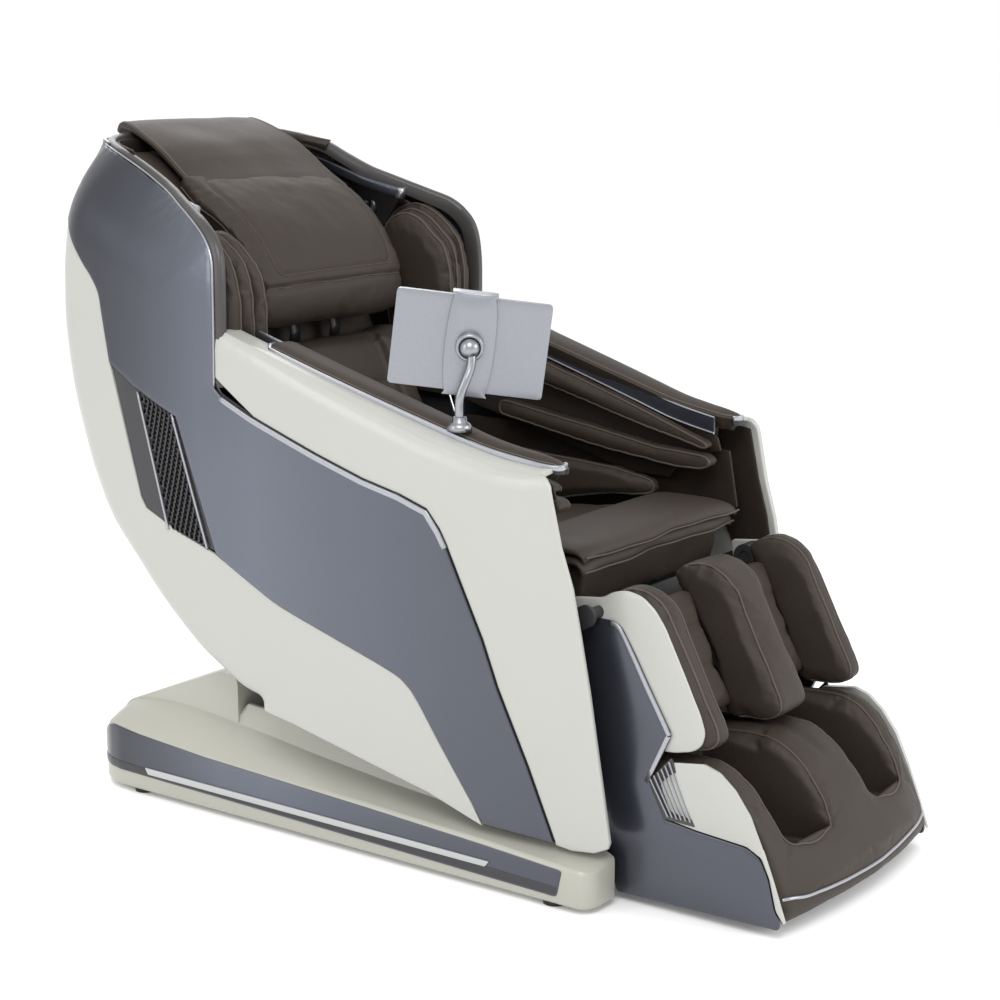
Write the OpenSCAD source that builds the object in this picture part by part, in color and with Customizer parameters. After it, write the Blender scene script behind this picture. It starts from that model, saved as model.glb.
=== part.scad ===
// Massage chair: a tilting capsule with arms, a lifting leg rest and a long low base.
// Frame: Z up, the sitter faces -Y, the sitter's right arm is on -X, the floor is z = 0.
// Side outlines are lists of [y, z], extruded along X by the module side().

/* [Capsule] */
// Widest outside width of the capsule
capsule_w = 780; // [774:2:786]
// Radius of the bowed side faces, seen from above
bow_r = 5000; // [4900:50:5200]
// Where along Y the capsule is widest
bow_y = 350; // [340:5:360]
// Wall of the plastic shells
shell_t = 6; // [5:0.5:7]
// Width of an armrest, shell to inner face
arm_w = 82; // [80:1:84]

/* [Back and seat] */
// Lean of the backrest from the vertical, degrees
back_lean = 24; // [23:0.5:25]
// Half width of the seat and back cushions
cushion_half = 235; // [225:1:236]
// Thickness of the back cushion
back_t = 118; // [108:1:119]

/* [Leg rest] */
// Half width of the leg rest outside its shells
leg_half = 265; // [263:0.5:266]
// Tilt of the leg rest from the vertical, degrees
leg_lean = 25.8; // [25.5:0.1:26]

/* [Base] */
// Half width of the base cover
base_half = 366; // [362:1:368]
// Height of the base cover's highest point
hump_z = 262; // [250:1:264]
// Travel of the carriage along its rails
slide_travel = 160; // [120:10:160]

/* [Tablet] */
// Width of the tablet
tablet_w = 258; // [230:2:262]
// Height of the tablet
tablet_h = 162; // [150:2:166]

/* [Hidden] */
$fn = 48;
clear = 1;                    // gap between neighbouring fixed pieces
half_w = capsule_w / 2;
pivot = [270, 220];           // capsule tilt axis, [y, z]
knee = [-360, 488];           // leg rest lift axis, [y, z]
seat_back = [300, 530];       // foot of the back cushion's front face, [y, z]
shaft_r = 12;
pin_r = 10;
fit = 0.06;                   // radial clearance of a running fit
plate_x = 300;                // inside face of the steel side plates
plate_t = 6;
rail_x = 225;                 // centre of the floor rails
rail_w = 30;
tube = 40;                    // floor frame tube
foot_h = 12;
wheel_at = [672, 34];         // axle of the moving wheels, [y, z]
axle_r = 4.94;
track_x = 160;                // massage track: half spacing, place behind the cushion, radius
track_y = 165;
track_r = 11;
rod_at = [232, 24];           // foot unit's guide rods, [x, y] on the leg
rod_r = 9;

// ---------- helpers ----------

function bezier(a, b, c, d, n = 6) =
  [for (i = [0 : n - 1]) let (t = i / n, s = 1 - t) s*s*s*a + 3*s*s*t*b + 3*s*t*t*c + t*t*t*d];
function arc(c, r, a0, a1, n = 8) =
  [for (i = [0 : n]) let (a = a0 + (a1 - a0) * i / n) c + r * [cos(a), sin(a)]];
function moved(points, by) = [for (p = points) p + by];
function bow(y) = half_w - (bow_r - sqrt(bow_r * bow_r - (y - bow_y) * (y - bow_y)));

// Extrudes a [y, z] outline from x0 to x1.
module side(points, x0, x1) {
  translate([x0, 0, 0]) rotate([90, 0, 90]) linear_extrude(x1 - x0) polygon(points);
}
// A box given by its two corners.
module block(a, b) {
  translate(a) cube(b - a);
}
// A rod along X.
module rod_x(x0, x1, at, r) {
  translate([x0, at[0], at[1]]) rotate([0, 90, 0]) cylinder(r = r, h = x1 - x0);
}
// Copies its children onto the left side as well; the children are drawn on -X, the right side.
module both() {
  children();
  mirror([1, 0, 0]) children();
}
module left() {
  mirror([1, 0, 0]) children();
}
// A layer on the right side that follows the bowed face, between two depths below it.
module bowed(points, outer, inner) {
  difference() {
    intersection() {
      side(points, -half_w - 20, -150);
      translate([bow_r - half_w, bow_y, -10]) cylinder(r = bow_r - outer, h = 1400, $fn = 720);
    }
    translate([bow_r - half_w, bow_y, -20]) cylinder(r = bow_r - inner, h = 1500, $fn = 720);
  }
}
// The backrest's own frame: z up the back, -y towards the sitter.
module on_back() {
  translate([0, seat_back[0], seat_back[1]]) rotate([-back_lean, 0, 0]) children();
}
// The leg rest's own frame: z up the leg, -y towards the sitter's calves, origin on the knee axis.
module on_leg() {
  translate([0, knee[0], knee[1]]) rotate([-leg_lean, 0, 0]) children();
}

// ---------- side outlines ----------

rim_top = [615, 1222];
rear_mid = [750, 933];
rear_low = [567, 470];
rear_end = [279, 255];
grey_rear = [721, 1078];
arm_nose = [-308, 722];
rear_curve = concat(
  bezier(rim_top, [690, 1160], [752, 1050], rear_mid, 14),
  bezier(rear_mid, [752, 790], [690, 590], rear_low, 14),
  bezier(rear_low, [490, 385], [370, 295], rear_end, 8), [rear_end]);
rear_below_grey = [for (p = rear_curve) if (p[1] < grey_rear[1]) p];
rear_above_grey = [for (p = rear_curve) if (p[1] > grey_rear[1]) p];
grey_rear_edge = [[626, 828], [640, 900], [650, 955], [690, 1005], [714, 1045], grey_rear];
grey_low_edge = [[-197, 117], [-71, 308], [-30, 346], [113, 399], [273, 459], [367, 507]];
vent_low_edge = [[466, 536], [544, 568], [558, 590]];
grey_front_edge = [[-326, 107], [-222, 356], [-125, 585], [-108, 618], [-80, 645], [39, 679], [275, 761], [367, 815]];
rim_front_edge = [[367, 985], [373, 1040], [402, 1085], [478, 1143], [560, 1204]];
arm_top_edge = [[362, 916], [168, 851], [-77, 768], [-217, 730], [-262, 726], arm_nose];
arm_front_edge = [[-318, 700], [-345, 586], [-388, 373], [-427, 120], [-420, 106], [-374, 104]];
vent_plate_edge = [[618, 820], [463, 743], [378, 514], [466, 540], [540, 571], [553, 592]];
rim_inner_edge = [[395, 815], [395, 978], [400, 1028], [424, 1066], [494, 1119], [572, 1176], [600, 1190]];

// ---------- base (root body) ----------

frame_y = [-345, 640];
ledge_side = concat([[720, foot_h], [728, 60]], arc([688, 102], 42, 10, 90, 5),
  [[-436, 88], [-450, 76], [-446, 28], [-430, foot_h]]);
ledge_inner = concat([[720, foot_h], [728, 60]], arc([670, 120], 58, 10, 90, 5),
  [[560, 190], [330, 166], [100, 140], [-200, 100], [-436, 90], [-450, 78], [-446, 28], [-430, foot_h]]);
hump_side = [[735, foot_h], [738, 70], [712, 140], [680, 168], [450, hump_z], [415, hump_z], [402, 240], [402, foot_h]];

module floor_frame() {
  color([0.16, 0.16, 0.17]) {
    difference() {
      union() {
        both() block([-rail_x - tube/2, frame_y[0], 14], [-rail_x + tube/2, frame_y[1], 44]);
        for (y = [frame_y[0], frame_y[1] - tube, 60]) block([-350, y, 14], [350, y + tube, 44]);
      }
      both() for (y = [frame_y[0] + tube/2, frame_y[1] - tube/2]) translate([-335, y, 0]) cylinder(r = 4, h = 60);
    }
    both() for (x = [-172, -138])
      difference() {
        side([[640, 18], [640, 44], [676, 50], [692, 32], [676, 18]], x - 3, x + 3);
        rod_x(x - 5, x + 5, wheel_at, axle_r + fit);
      }
  }
}
module guide_rails() {
  color([0.62, 0.63, 0.65])
    both() block([-rail_x - rail_w/2, -40 - slide_travel, 44], [-rail_x + rail_w/2, 396, 64]);
}
module ledge_solid(inset) {
  hull() {
    side([for (p = ledge_side) [p[0] - sign(p[0]) * inset, p[1] - (p[1] > 20 ? inset : 0)]],
      -base_half + inset, -base_half + inset + 1);
    side([for (p = ledge_inner) [p[0] - sign(p[0]) * inset, p[1] - (p[1] > 20 ? inset : 0)]],
      -309 - inset, -308 - inset);
  }
}
module base_cover() {
  wall = 4;
  color([0.87, 0.86, 0.82]) {
    both() difference() {
      ledge_solid(0);
      ledge_solid(wall);
      for (y = frame_y) block([-360, y - (y > 0 ? tube : 0) - 3, 0], [-300, y + (y > 0 ? 0 : tube) + 3, 47]);
      block([-330, 57, 0], [-300, 103, 47]);
      block([-352, 57, 0], [-329, 103, 47]);
    }
    difference() {
      side(hump_side, -307, 307);
      side([for (p = hump_side) [p[0] + (p[0] > 600 ? -wall : wall), p[1] > 20 ? p[1] - wall : 0]],
        -307 + wall, 307 - wall);
      both() block([-310, frame_y[1] - tube - 3, 0], [-300, frame_y[1] + 3, 47]);
      both() block([-rail_x - tube/2 - 3, 398, 0], [-rail_x + tube/2 + 3, 410, 47]);
      block([60, 720, 40], [180, 750, 76]);
    }
  }
}
strip = [[700, 50], [706, 84], [688, 126], [660, 134], [-362, 78], [-352, 30]];
module base_strips() {
  color([0.42, 0.43, 0.50]) both() side(strip, -base_half - 3.2, -base_half - 0.2);
}
module base_light_bars() {
  color([0.93, 0.93, 0.9])
    both() side([[575, 50], [582, 63], [-215, 65], [-208, 53]], -base_half - 5.2, -base_half - 3.4);
}
module rubber_feet() {
  color([0.06, 0.06, 0.06])
    both() for (y = [frame_y[0] + tube/2, frame_y[1] - tube/2])
      difference() {
        union() {
          translate([-335, y, 0]) cylinder(r1 = 20, r2 = 23, h = 13.8);
          translate([-335, y, 13.8]) cylinder(r = 3.8, h = 20);
        }
        translate([-335, y, -1]) cylinder(r = 6, h = 5);
      }
}
module power_panel() {
  color([0.1, 0.1, 0.1]) difference() {
    block([66, 722, 44], [174, 741, 72]);
    block([78, 730, 48], [106, 745, 68]);
    block([127, 724, 49], [153, 745, 67]);
  }
  color("silver") for (x = [85, 92, 99]) block([x - 1, 730, 54], [x + 1, 738, 62]);
}
module power_rocker() {
  color([0.15, 0.15, 0.15]) translate([140, 734, 58]) difference() {
    rotate([0, 90, 0]) linear_extrude(24, center = true)
      polygon([[-8, 4], [0, 7.5], [8, 4], [6, -6], [-6, -6]]);
    rotate([0, 90, 0]) cylinder(r = 2, h = 40, center = true);
  }
}
module slide_motor() {
  color([0.2, 0.2, 0.21]) {
    difference() {
      union() {
        translate([0, -20, 84]) rotate([90, 0, 0]) cylinder(r = 18, h = 280);
        block([-30, -330, 58], [30, -295, 112]);
      }
      translate([0, -10, 84]) rotate([90, 0, 0]) cylinder(r = pin_r + fit, h = slide_travel + 115);
    }
    block([-66, -330, 62], [-31, -210, 104]);
    block([-18, -325, 44.5], [18, -300, 57.5]);
  }
}
module wheel_right() {
  color([0.09, 0.09, 0.09]) {
    difference() {
      rod_x(-165, -145, wheel_at, 30);
      rod_x(-166, -144, wheel_at, axle_r);
    }
  }
  color("silver") rod_x(-176, -134, wheel_at, axle_r);
}

// ---------- carriage (slides on the base) ----------

module carriage_frame() {
  color([0.16, 0.16, 0.17]) difference() {
    union() {
      both() {
        block([-245, 150, 78], [-205, 390, 98]);
        side(concat([[225, 98], [225, 200]], arc(pivot, 28, 200, -20, 10), [[315, 98]]), -282, -274);
        block([-282, 225, 86], [-244, 315, 98]);
      }
      block([-205, 152, 78], [205, 188, 98]);
      block([-205, 352, 78], [205, 388, 98]);
    }
    rod_x(-300, 300, pivot, shaft_r + 0.02);
    translate([0, 140, 84]) rotate([-90, 0, 0]) cylinder(r = pin_r, h = 14);
  }
}
module glide_shoes() {
  color([0.85, 0.85, 0.8])
    both() for (y = [155, 345]) difference() {
      block([-rail_x - 21, y, 47], [-rail_x + 21, y + 40, 77.8]);
      block([-rail_x - rail_w/2 - 0.4, y - 1, 40], [-rail_x + rail_w/2 + 0.4, y + 41, 64.6]);
    }
}
module tilt_shaft() {
  color("silver") rod_x(-plate_x - plate_t - 6, plate_x + plate_t + 6, pivot, shaft_r);
}
module slide_rod() {
  color("silver") translate([0, 151.5, 84]) rotate([90, 0, 0]) cylinder(r = pin_r, h = 212);
}

// ---------- capsule (tilts on the carriage) ----------

module seat_frame() {
  plate = concat(arc(knee, 19, 230, 50, 8), [[-250, 455], [120, 430], [300, 450], [430, 462], [436, 432],
    [330, 380], [320, 250]], arc(pivot, 30, 20, -160, 8), [[225, 300], [120, 370], [-290, 430]]);
  color([0.16, 0.16, 0.17]) {
    both() difference() {
      side(plate, -plate_x - plate_t, -plate_x);
      rod_x(-310, -290, pivot, shaft_r + fit);
      rod_x(-310, -290, knee, pin_r + 0.02);
    }
    for (at = [[-200, 440], [150, 405], [285, 330], [409, 440]]) rod_x(-plate_x, plate_x, at, 13);
    // Uprights behind the back cushion, outside the massage track, with a top bar.
    on_back() {
      both() block([-262, back_t + 8, -50], [-256, back_t + 32, 606]);
      translate([0, back_t + 20, 593]) rotate([0, 90, 0]) cylinder(r = 10, h = 516, center = true);
    }
  }
}
module knee_pins() {
  color("silver") both() rod_x(-plate_x - plate_t, -216, knee, pin_r);
}
module back_shell() {
  // It starts behind the steel side plates.
  outer = [for (p = rear_curve) if (p[0] > 345) p];
  inner = moved(outer, [-8, 3]);
  color([0.87, 0.86, 0.82])
    intersection() {
      side(concat(outer, [for (i = [len(inner) - 1 : -1 : 0]) inner[i]]), -400, 400);
      translate([bow_r - half_w, bow_y, 0]) cylinder(r = bow_r - shell_t - clear, h = 1400, $fn = 720);
      translate([half_w - bow_r, bow_y, 0]) cylinder(r = bow_r - shell_t - clear, h = 1400, $fn = 720);
    }
}
module side_shell_right() {
  color([0.87, 0.86, 0.82])
    bowed(concat(grey_low_edge, vent_low_edge, grey_rear_edge, rear_below_grey, [[292, 200], [-88, 155]]),
      0, shell_t);
}
module side_panel_right() {
  // The metallic band: over the shoulder, round the vent and down to the front foot of the shell.
  grey = concat([[-199 - clear, 114]], [for (i = [0 : 5]) grey_low_edge[i] + [0, clear]],
    [[457, 744], [626, 828 + clear]], [for (i = [1 : 4]) grey_rear_edge[i] + [-clear, 0]],
    [grey_rear + [-2, 3]], [for (i = [len(rear_above_grey) - 1 : -1 : 0]) rear_above_grey[i]],
    [for (i = [4 : -1 : 0]) rim_front_edge[i]], [for (i = [7 : -1 : 0]) grey_front_edge[i]]);
  color([0.42, 0.43, 0.50]) bowed(grey, -3, shell_t - 2);
}
module vent_grilles() {
  // A dark plate in the band's opening, pierced by a field of hexagons.
  color([0.13, 0.13, 0.14]) both() difference() {
    bowed(vent_plate_edge, 2, shell_t - 2);
    for (i = [0 : 11], j = [0 : 2]) {
      at = [448 + 21 * j - 6.5 * i, 566 + (i - 0.5 * (j % 2)) * 15.5 + 5 * j];
      translate([-half_w - 20, at[0] + 5.5 * i, at[1]]) rotate([0, 90, 0]) cylinder(r = 5, h = 60, $fn = 6);
    }
  }
}
module arm_panel_right() {
  color([0.88, 0.87, 0.83])
    bowed(concat([[367 - clear, 822]], [for (i = [0 : 6]) grey_front_edge[6 - i] + [-clear, clear]],
      [[-374 + 30, 104]], [for (i = [5 : -1 : 0]) arm_front_edge[i]],
      [for (i = [5 : -1 : 0]) arm_top_edge[i]]), 0, shell_t);
}
arm_line = [[330, 896], [168, 841], [-77, 758], [-215, 720], [-262, 716], [-300, 712]];
module arm_trim() {
  outline = concat(arm_line, [for (i = [5 : -1 : 0]) arm_line[i] + [0, 12]]);
  color("silver") both() bowed(outline, shell_t + clear, shell_t + clear + 7);
}
module armrest_pad_right() {
  outline = concat(moved(arm_line, [0, -30]), [for (i = [5 : -1 : 0]) arm_line[i] + [0, 18]]);
  color([0.30, 0.25, 0.22]) bowed(outline, shell_t + clear + 8, arm_w - 1);
}
module arm_lining_right() {
  upper = [[-318, 664], [-318, 680], [-262, 684], [-77, 726], [330, 862], [330, 700], [-60, 600], [-160, 600],
    [-200, 650]];
  lower = [[-352, 560], [-330, 662], [-60, 662], [355, 662], [355, 500], [150, 470], [-280, 522]];
  color([0.27, 0.22, 0.20]) {
    bowed(upper, arm_w, arm_w + 6);
    bowed(lower, 58, 64);
  }
}
module accent_strips() {
  color([0.45, 0.47, 0.56])
    both() bowed([[-290, 690], [-284, 724], [-262, 732], [330, 908], [330, 870]], arm_w + 6.5, arm_w + 9.5);
}
module arm_airbags_right() {
  color([0.29, 0.24, 0.21]) {
    bowed([[-280, 684], [320, 864], [320, 790], [100, 738], [-150, 684], [-270, 668]], arm_w + 10, arm_w + 46);
    bowed([[-312, 652], [-300, 664], [-150, 668], [230, 726], [230, 676], [0, 645], [-200, 628], [-280, 632]],
      arm_w + 8, arm_w + 52);
  }
}
module hip_airbags() {
  color([0.26, 0.22, 0.2])
    both() side([[-150, 570], [-150, 602], [-60, 622], [240, 640], [300, 610], [300, 500], [200, 490], [40, 530]],
      -272, -240);
}
module hood_rim() {
  band = concat(rim_inner_edge, [[620, 1200], [602, 1217]],
    [for (i = [4 : -1 : 0]) rim_front_edge[i]], [[367, 822]]);
  color([0.33, 0.34, 0.38]) {
    both() bowed(band, shell_t - 1, 52);
    side([[572, 1174], [600, 1213], [626, 1203], [604, 1170]], -320, 320);
  }
}
module hood_lining() {
  color([0.25, 0.21, 0.19]) {
    both() bowed([[398, 700], [398, 978], [403, 1024], [427, 1062], [497, 1114], [576, 1171], [606, 1172],
      [690, 1010], [700, 900], [600, 700]], 54, 60);
    on_back() block([-320, 90, 612], [320, 98, 690]);
  }
}
speaker_at = [556, 1080];
module speaker_housings() {
  color([0.36, 0.37, 0.41]) both() difference() {
    bowed([[470, 1076], [500, 1108], [600, 1160], [622, 1120], [560, 1040], [520, 1040]], 60.5, 82);
    rod_x(-340, -200, speaker_at, 24);
  }
}
module speakers() {
  color([0.2, 0.2, 0.2]) both() {
    translate([-321, speaker_at[0], speaker_at[1]]) rotate([0, 90, 0]) difference() {
      cylinder(r = 23.5, h = 15);
      translate([0, 0, 6]) cylinder(r1 = 10, r2 = 21, h = 10);
    }
  }
}
module shoulder_wing_right() {
  outer = [[345, 800], [338, 985], [372, 1052], [452, 1075], [515, 1020], [500, 830], [420, 790]];
  inner = [[352, 800], [345, 970], [378, 1036], [448, 1058], [505, 1010], [492, 830], [420, 792]];
  color([0.29, 0.24, 0.21]) {
    bowed(outer, 62, 92);
    bowed(inner, 94, 122);
  }
}
module back_cushion() {
  color([0.30, 0.25, 0.22]) on_back() block([-cushion_half, 0, 12], [cushion_half, back_t, 600]);
}
module seat_cushion() {
  color([0.32, 0.27, 0.24])
    side([[-318, 530], [-324, 545], [-316, 560], [-240, 574], [0, 544], [296, 518], [292, 432], [160, 436],
      [-170, 460], [-296, 460], [-300, 528]], -cushion_half, cushion_half);
}
module head_pillow() {
  color([0.31, 0.26, 0.23])
    side([[440, 880], [416, 890], [420, 920], [462, 1040], [512, 1140], [552, 1212], [580, 1242], [604, 1250],
      [634, 1240], [672, 1188], [668, 1184], [630, 1228], [600, 1232], [578, 1206], [548, 1120], [532, 1066],
      [475, 930], [455, 884]], -240, 240);
}
module roller_track() {
  color([0.6, 0.6, 0.62]) on_back() {
    both() {
      translate([-track_x, track_y, 0]) cylinder(r = track_r, h = 570);
      block([-track_x - 16, track_y - 14, 570], [-track_x + 16, track_y + 14, 582]);
    }
    block([-track_x - 16, track_y - 14, -12], [track_x + 16, track_y + 14, 0]);
  }
}

// ---------- massage unit (travels up the track) and its kneading shaft ----------

unit_z = 10;                  // lowest place of the massage unit on the track
unit_h = 150;
knead_r = 8;
knead_y = track_y - 4;
module massage_chassis() {
  color([0.25, 0.25, 0.27]) on_back() translate([0, 0, unit_z]) difference() {
    union() {
      both() block([-184, track_y - 30, 0], [-128, track_y + 30, unit_h]);
      block([-129, track_y + 22, 0], [129, track_y + 30, unit_h]);
      block([-60, track_y + 29, 40], [60, track_y + 53, 110]);
    }
    both() {
      translate([-track_x, track_y, -5]) cylinder(r = track_r + fit, h = unit_h + 10);
      translate([-140, knead_y, unit_h / 2]) rotate([0, 90, 0]) cylinder(r = knead_r + fit, h = 13);
    }
  }
}
module kneading_shaft() {
  on_back() translate([0, knead_y, unit_z + unit_h / 2]) rotate([0, 90, 0]) {
    color("silver") cylinder(r = knead_r, h = 276, center = true);
    color([0.72, 0.6, 0.45]) for (x = [-1, 1])
      difference() {
        translate([5 * x, 0, 62 * x]) cylinder(r = 20, h = 34, center = true);
        translate([0, 0, 62 * x]) cylinder(r = knead_r, h = 40, center = true);
      }
  }
}

// ---------- leg rest (lifts at the knee) ----------

wing_outline = [[-366, 512], [-384, 524], [-412, 530], [-440, 524], [-464, 506], [-484, 479], [-522, 405],
  [-552, 345], [-562, 316], [-556, 294], [-540, 282], [-503, 273], [-440, 272], [-372, 330], [-350, 440],
  [-346, 492]];
pad_outline = [[-372, 522], [-388, 532], [-424, 540], [-462, 530], [-492, 505], [-520, 455], [-556, 385],
  [-584, 322], [-588, 300], [-578, 284], [-556, 274], [-500, 268], [-440, 268], [-380, 330], [-352, 440],
  [-350, 500]];
module leg_frame() {
  color([0.16, 0.16, 0.17]) {
    both() difference() {
      union() {
        rod_x(-251, -213, knee, 22);
        on_leg() block([-250, 5, -212], [-214, 43, -12]);
      }
      rod_x(-260, -200, knee, pin_r + fit);
      on_leg() translate([-rod_at[0], rod_at[1], -213]) cylinder(r = rod_r + fit, h = 187);
    }
    for (z = [-205, -70]) on_leg() block([-215, 9, z], [215, 33, z + 24]);
  }
}
module calf_shells() {
  color([0.88, 0.87, 0.83]) both() difference() {
    side(wing_outline, -leg_half + 6, -leg_half + 12);
    rod_x(-280, -245, knee, pin_r + 1);
  }
}
module leg_back_cover() {
  color([0.2, 0.2, 0.21]) on_leg() block([-250, 45, -224], [250, 49, 10]);
}
module calf_cushion() {
  // Two outer wings, the middle bolster and the pads behind the calves.
  color([0.29, 0.24, 0.21]) {
    both() pad_slab(-leg_half + 13, -212);
    pad_slab(-46, 46);
    on_leg() both() block([-211.8, -40, -236], [-46.2, -10, -6]);
  }
}
module pad_slab(x0, x1) {
  difference() {
    side(pad_outline, x0, x1);
    on_leg() block([x0 - 5, -10, -310], [x1 + 5, 80, 60]);
    rod_x(x0 - 5, x1 + 5, knee, 26);
  }
}

// ---------- foot unit (slides out of the leg rest) ----------

module foot_slide_rods() {
  color("silver") on_leg() both() translate([-rod_at[0], rod_at[1], -400]) cylinder(r = rod_r, h = 366);
}
module foot_side_plates() {
  // The grey side of the leg, from the knee down to the floor, standing outside the calf's shell.
  plate = concat([[-350, 440], [-347, 476]], arc(knee, 14, 292, 262, 3), [[-392, 478], [-406, 472], [-432, 429],
    [-461, 378], [-502, 309], [-502, 300], [-462, 218], [-492, 160], [-552, 152], [-645, 145], [-669, 131],
    [-684, 102], [-697, 51], [-711, 34], [-708, 20], [-402, 15], [-372, 120], [-350, 300]]);
  color([0.42, 0.43, 0.50]) both() side(plate, -leg_half, -leg_half + 5);
}
module foot_side_shells() {
  shell = [[-464, 222], [-500, 264], [-564, 268], [-592, 259], [-621, 235], [-649, 198], [-673, 145],
    [-694, 93], [-718, 30], [-713, 36], [-700, 52], [-687, 103], [-672, 134], [-645, 147.5], [-552, 154.5],
    [-494, 162.5]];
  color([0.88, 0.87, 0.83]) both() side(shell, -leg_half + 1, -leg_half + 7);
}
module leg_ribs() {
  // Fine ribs between the leg's grey side and the foot's shell.
  color([0.5, 0.51, 0.56]) both() for (i = [0 : 4])
    side([[-468 - 9 * i, 224 + 8.6 * i], [-472 - 9 * i, 228 + 8.6 * i], [-504 - 10 * i, 166],
      [-499 - 10 * i, 166]], -leg_half - 1, -leg_half + 0.9);
}
boot_side = concat([[-402, 15], [-372, 120], [-400, 250], [-430, 258], [-500, 262], [-566, 266]],
  bezier([-600, 256], [-660, 200], [-706, 150], [-742, 75], 6), [[-750, 48], [-744, 24], [-722, 15]]);
roller_at = [-570, 45];
roller_pin = 6;
module foot_boot() {
  channel = [[-420, 300], [-640, 300], [-740, 170], [-690, 150], [-668, 78], [-480, 68], [-452, 120]];
  color([0.29, 0.24, 0.21]) difference() {
    side(boot_side, -leg_half + 8, leg_half - 8);
    both() {
      side(channel, -206, -66);
      on_leg() translate([-rod_at[0], rod_at[1], -401]) cylinder(r = rod_r, h = 200);
    }
    side([[-545, 25], [-545, 65], [-595, 65], [-595, 25]], -206, 206);
    rod_x(-216, 216, roller_at, roller_pin + fit);
    // Hollow behind the heels.
    side([[-410, 26], [-384, 118], [-408, 236], [-420, 236], [-438, 120], [-460, 40], [-460, 26]], -240, 240);
  }
}
module foot_rollers() {
  color("silver") rod_x(-214, 214, roller_at, roller_pin);
  color([0.72, 0.6, 0.45]) for (x = [-178, -136, -94, 94, 136, 178])
    difference() {
      rod_x(x - 14, x + 14, roller_at, 17);
      rod_x(x - 15, x + 15, roller_at, roller_pin);
    }
}

// ---------- tablet and its arm ----------

post = [-318, -118];        // swivel axis of the tablet arm, [x, y]
post_z = 776;
ball = [-300, -126, 905];
ball_r = 17;
tilt_pin_r = 3;
module tablet_collar() {
  color("silver") translate([post[0], post[1], post_z - 3]) difference() {
    union() {
      cylinder(r1 = 20, r2 = 17, h = 12);
      cylinder(r = 12, h = 20);
    }
    translate([0, 0, 6]) cylinder(r = 7, h = 20);
  }
}
module tablet_arm() {
  color("silver") {
    translate([post[0], post[1], post_z + 3.2]) cylinder(r = 6.95, h = 22);
    translate([post[0], post[1], post_z + 25]) rotate([-3, 10, 0]) cylinder(r = 7, h = 60);
    translate([post[0] + 10, post[1], post_z + 82]) rotate([8, 4, 0]) cylinder(r = 7, h = 36);
    difference() {
      translate(ball) sphere(r = ball_r);
      on_tablet() rotate([0, 90, 0]) cylinder(r = tilt_pin_r + fit, h = 50, center = true);
    }
  }
}
face = -54;                  // yaw, tilt and roll of the tablet, degrees
lean_back = 6;
roll = 7;
module on_tablet() {
  translate(ball) rotate([0, 0, face]) rotate([lean_back, 0, 0]) rotate([0, roll, 0]) children();
}
module tablet_cradle() {
  color([0.72, 0.73, 0.75]) on_tablet() {
    difference() {
      rotate([-90, 0, 0]) cylinder(r = 24, h = 21);
      sphere(r = ball_r + 0.6);
      block([-30, -30, -30], [30, 9, 30]);
    }
    both() block([-23, -5, -5], [-19, 20, 5]);
    rotate([0, 90, 0]) cylinder(r = tilt_pin_r, h = 44, center = true);
    block([-48, 21.2, -tablet_h/2 - 6], [48, 27, tablet_h/2 + 1]);
    block([-48, 21.2, -tablet_h/2 - 6], [48, 38, -tablet_h/2 - 1]);
  }
}
module tablet() {
  color([0.75, 0.76, 0.78]) on_tablet()
    block([-tablet_w/2, 27.4, -tablet_h/2], [tablet_w/2, 36, tablet_h/2]);
}

// ---------- one node at a time ----------

floor_frame();
guide_rails();
base_cover();
base_strips();
base_light_bars();
rubber_feet();
power_panel();
power_rocker();
slide_motor();
left() wheel_right();  // wheel_left
wheel_right();
carriage_frame();
glide_shoes();
tilt_shaft();
slide_rod();
seat_frame();
knee_pins();
back_shell();
left() side_shell_right();  // side_shell_left
side_shell_right();
left() side_panel_right();  // side_panel_left
side_panel_right();
vent_grilles();
left() arm_panel_right();  // arm_panel_left
arm_panel_right();
arm_trim();
left() armrest_pad_right();  // armrest_pad_left
armrest_pad_right();
left() arm_lining_right();  // arm_lining_left
arm_lining_right();
accent_strips();
left() arm_airbags_right();  // arm_airbags_left
arm_airbags_right();
hip_airbags();
hood_rim();
hood_lining();
speaker_housings();
speakers();
left() shoulder_wing_right();  // shoulder_wing_left
shoulder_wing_right();
back_cushion();
seat_cushion();
head_pillow();
roller_track();
massage_chassis();
kneading_shaft();
leg_frame();
calf_shells();
leg_back_cover();
calf_cushion();
foot_slide_rods();
foot_side_plates();
foot_side_shells();
leg_ribs();
foot_boot();
foot_rollers();
tablet_collar();
tablet_arm();
tablet_cradle();
tablet();
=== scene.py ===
import bpy
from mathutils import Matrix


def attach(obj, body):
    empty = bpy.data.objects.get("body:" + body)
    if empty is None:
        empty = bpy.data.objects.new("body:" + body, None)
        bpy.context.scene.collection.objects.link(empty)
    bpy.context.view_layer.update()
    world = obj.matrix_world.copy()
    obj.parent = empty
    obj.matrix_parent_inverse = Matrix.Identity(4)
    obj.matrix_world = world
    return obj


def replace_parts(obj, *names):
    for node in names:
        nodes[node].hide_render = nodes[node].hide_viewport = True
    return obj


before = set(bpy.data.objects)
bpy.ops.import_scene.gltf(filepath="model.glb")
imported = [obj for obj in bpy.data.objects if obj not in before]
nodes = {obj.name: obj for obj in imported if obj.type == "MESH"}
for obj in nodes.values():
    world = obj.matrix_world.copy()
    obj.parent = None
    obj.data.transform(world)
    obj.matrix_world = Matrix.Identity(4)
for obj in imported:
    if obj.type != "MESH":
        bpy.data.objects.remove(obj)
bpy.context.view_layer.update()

import bpy, bmesh, math
import numpy as np
from mathutils import Vector, Matrix, noise, kdtree
from mathutils.geometry import delaunay_2d_cdt

MM = 0.001
scene = bpy.context.scene


# ---------- materials ----------

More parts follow.
